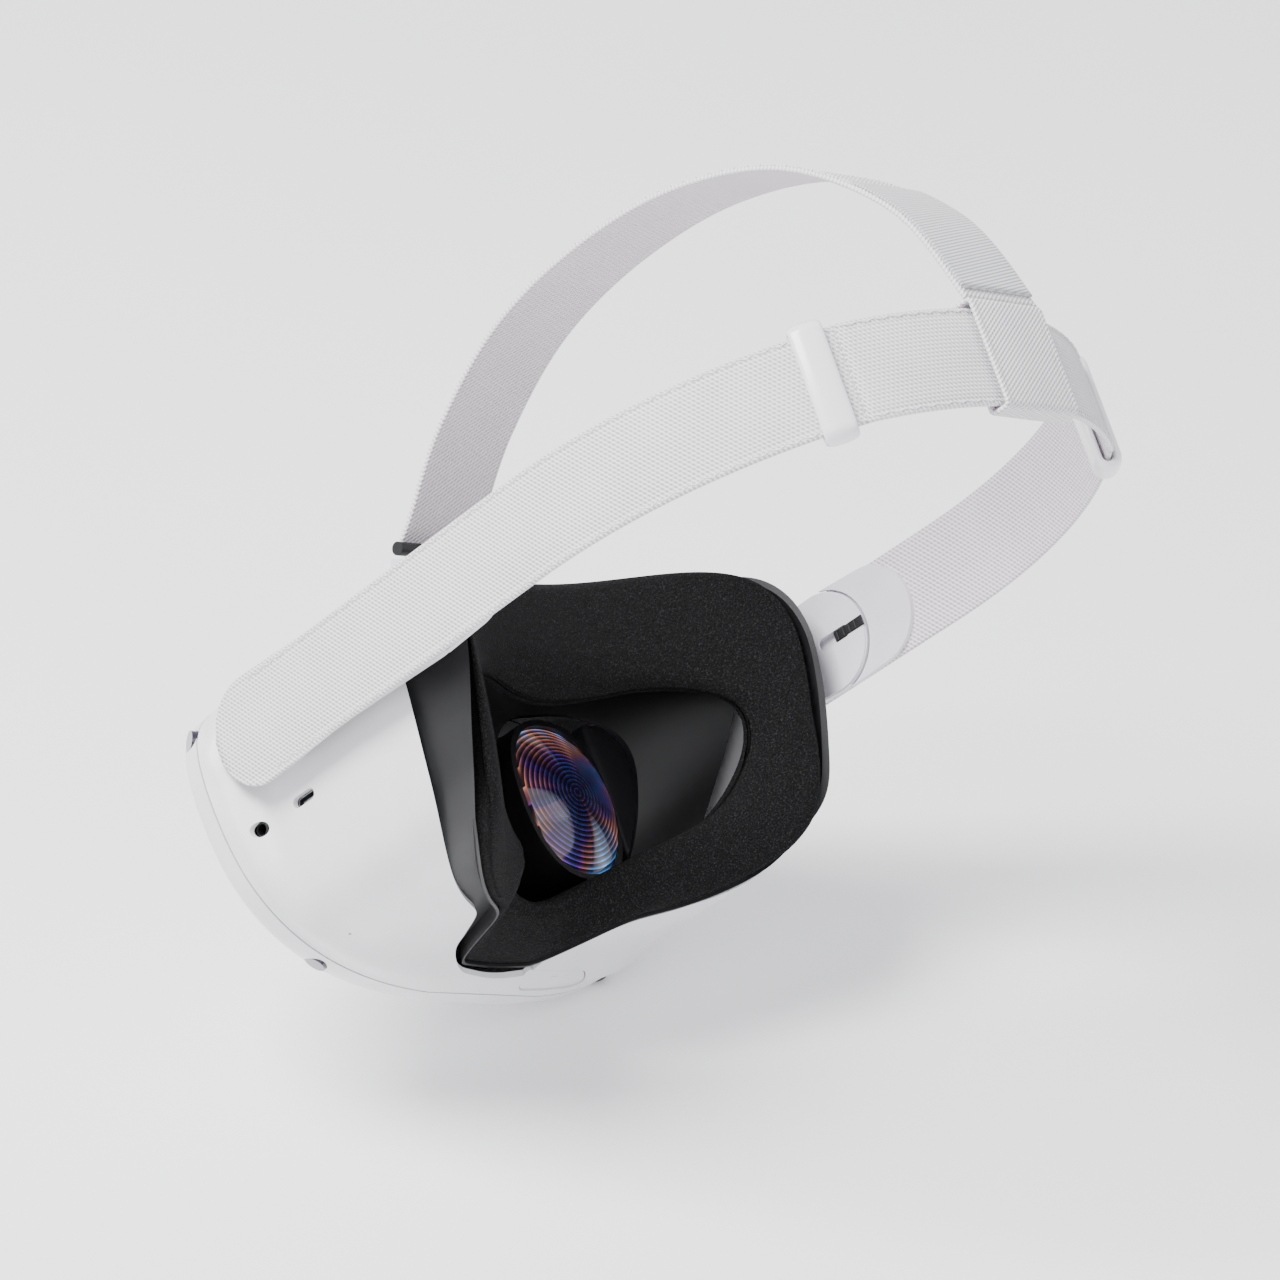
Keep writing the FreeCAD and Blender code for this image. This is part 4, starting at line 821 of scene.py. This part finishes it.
def foam_section(outer, inner):
    """Points round the foam's section between its outlines, with rounded edges and a crowned face."""
    across = (inner - outer).length
    middle = (inner + outer) / 2
    height = max(LEAST_HEIGHT, foam_face(*middle) - foam_root(*middle))
    radius = min(FOAM_RADIUS, across * RADIUS_ACROSS, height * RADIUS_HEIGHT)
    rise = list(FOOT)
    for step in range(ARC_POINTS, -1, -1):
        angle = math.radians(90 * step / ARC_POINTS)
        rise.append((radius * (1 - math.sin(angle)), 1 - radius * (1 - math.cos(angle)) / height))
    section = list(rise)
    for step in range(1, FACE_STEPS):
        share = step / FACE_STEPS
        crown = 1.0 + FOAM_CROWN * math.sin(math.pi * share) / height
        section.append((radius + (across - 2 * radius) * share, crown))
    section += [(across - inset, share) for inset, share in reversed(rise)]
    foot = across - 2 * FOOT_INSET
    section += [(across - FOOT_INSET - foot * step / FOOT_STEPS, 0.0) for step in range(1, FOOT_STEPS)]
    toward = (inner - outer).normalized()
    points = []
    for inset, share in section:
        x, z = outer + toward * inset
        root = foam_root(x, z) + FOAM_GAP
        points.append(design(x, root + (foam_face(x, z) - root) * share, z))
    return points


def build_foam():
    """The face foam: a thick ring with rounded edges and a slightly crowned face."""
    rows = [foam_section(*pair) for pair in zip(foam_outline(), foam_opening())]
    rows.append(rows[0])
    foam = new_object("padded_face_foam", grid_mesh("padded_face_foam", rows), ["foam"])
    close_seams(foam)
    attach(foam, "face_interface")
    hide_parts("face_foam")


# ---------------------------------------------------------------- camera, light and stage

CAMERA_PLACE = Vector((1.8747, 1.4193, -0.8184))
CAMERA_RIGHT = Vector((-0.6679, 0.6757, -0.3120))
CAMERA_UP = Vector((0.0591, 0.4661, 0.8828))
CAMERA_LENS = 232.89
SENSOR = 36.0
CLIP_END = 50.0
STAGE_LEAN = math.radians(32)
STAGE_HALF = 4.0


def build_camera():
    """The photographer's camera. Returns the direction from the object back to it."""
    camera = bpy.data.cameras.new("camera")
    camera.lens = CAMERA_LENS
    camera.sensor_width = SENSOR
    camera.clip_end = CLIP_END
    holder = bpy.data.objects.new("camera", camera)
    bpy.context.scene.collection.objects.link(holder)
    back = CAMERA_RIGHT.cross(CAMERA_UP).normalized()
    turn = Matrix((CAMERA_RIGHT, CAMERA_UP, back)).transposed().to_4x4()
    holder.matrix_world = Matrix.Translation(CAMERA_PLACE) @ turn
    bpy.context.scene.camera = holder
    return back


def lowest_along(up):
    """The lowest point of the object along a direction."""
    return min(up.dot(vertex.co) for node in NODES.values() for vertex in node.data.vertices)


def stage_material():
    """Pale matte paper that is only seen from its upper side."""
    shader = Shader("stage_paper", Roughness=0.9, Emission_Color=(1, 1, 1, 1), Emission_Strength=0.22)
    stops = [(0.3, (0.86, 0.86, 0.87)), (0.7, (0.89, 0.89, 0.9))]
    shader.drive("Base Color", shader.ramp(shader.noise(3.0), stops))
    backfacing = shader.node("ShaderNodeNewGeometry").outputs["Backfacing"]
    clear = shader.node("ShaderNodeBsdfTransparent").outputs[0]
    mix = shader.node("ShaderNodeMixShader", {0: backfacing, 1: shader.principled.outputs[0], 2: clear})
    output = shader.tree.nodes["Material Output"]
    shader.tree.links.new(mix.outputs[0], output.inputs["Surface"])
    return shader.material


def build_stage(back):
    """A pale floor under the headset. Its up leans from the camera's up to the camera; it's returned."""
    up = (CAMERA_UP * math.cos(STAGE_LEAN) + back * math.sin(STAGE_LEAN)).normalized()
    side = CAMERA_RIGHT.normalized()
    forward = up.cross(side)
    centre = up * lowest_along(up)
    mesh = bpy.data.meshes.new("floor")
    corners = [centre + side * (x * STAGE_HALF) + forward * (y * STAGE_HALF)
               for x, y in ((-1, -1), (1, -1), (1, 1), (-1, 1))]
    mesh.from_pydata(corners, [], [(0, 1, 2, 3)])
    mesh.materials.append(stage_material())
    floor = new_object("floor", mesh)
    return up


OBJECT_MIDDLE = Vector((0, 0, 0.09))
# Name, metres from the object's middle along (up, right, back to the camera), size and power
LIGHTS = [
    ("key", (1.3, -0.75, 0.15), 0.8, 62),
    ("fill", (0.5, 1.2, 1.1), 1.2, 9),
    ("front", (0.35, -0.3, 1.7), 0.8, 6),
]
WORLD_COLOUR = (0.93, 0.94, 1.0, 1)
WORLD_STRENGTH = 0.95


def add_light(name, offset, size, power):
    """A square light, offset from the object's middle and facing it."""
    light = bpy.data.lights.new(name, "AREA")
    light.size = size
    light.energy = power
    holder = bpy.data.objects.new(name, light)
    bpy.context.scene.collection.objects.link(holder)
    holder.location = OBJECT_MIDDLE + offset
    holder.rotation_euler = (-offset).to_track_quat("-Z", "Y").to_euler()


def build_lights(up, back):
    """A soft key from above left, a fill on the right, a weak light by the camera, and a pale world."""
    right = CAMERA_RIGHT.normalized()
    for name, (rise, across, toward), size, power in LIGHTS:
        add_light(name, up * rise + right * across + back * toward, size, power)
    world = bpy.data.worlds.new("studio")
    world.use_nodes = True
    background = world.node_tree.nodes["Background"]
    background.inputs["Color"].default_value = WORLD_COLOUR
    background.inputs["Strength"].default_value = WORLD_STRENGTH
    bpy.context.scene.world = world


finish_nodes()
for side, name in SIDES:
    build_side_strap(side, name)
    build_slot_grille(side, name)
    build_buckle(side, name)
build_rear_strap()
build_top_strap()
build_loop()
build_foam()
view_back = build_camera()
stage_up = build_stage(view_back)
build_lights(stage_up, view_back)
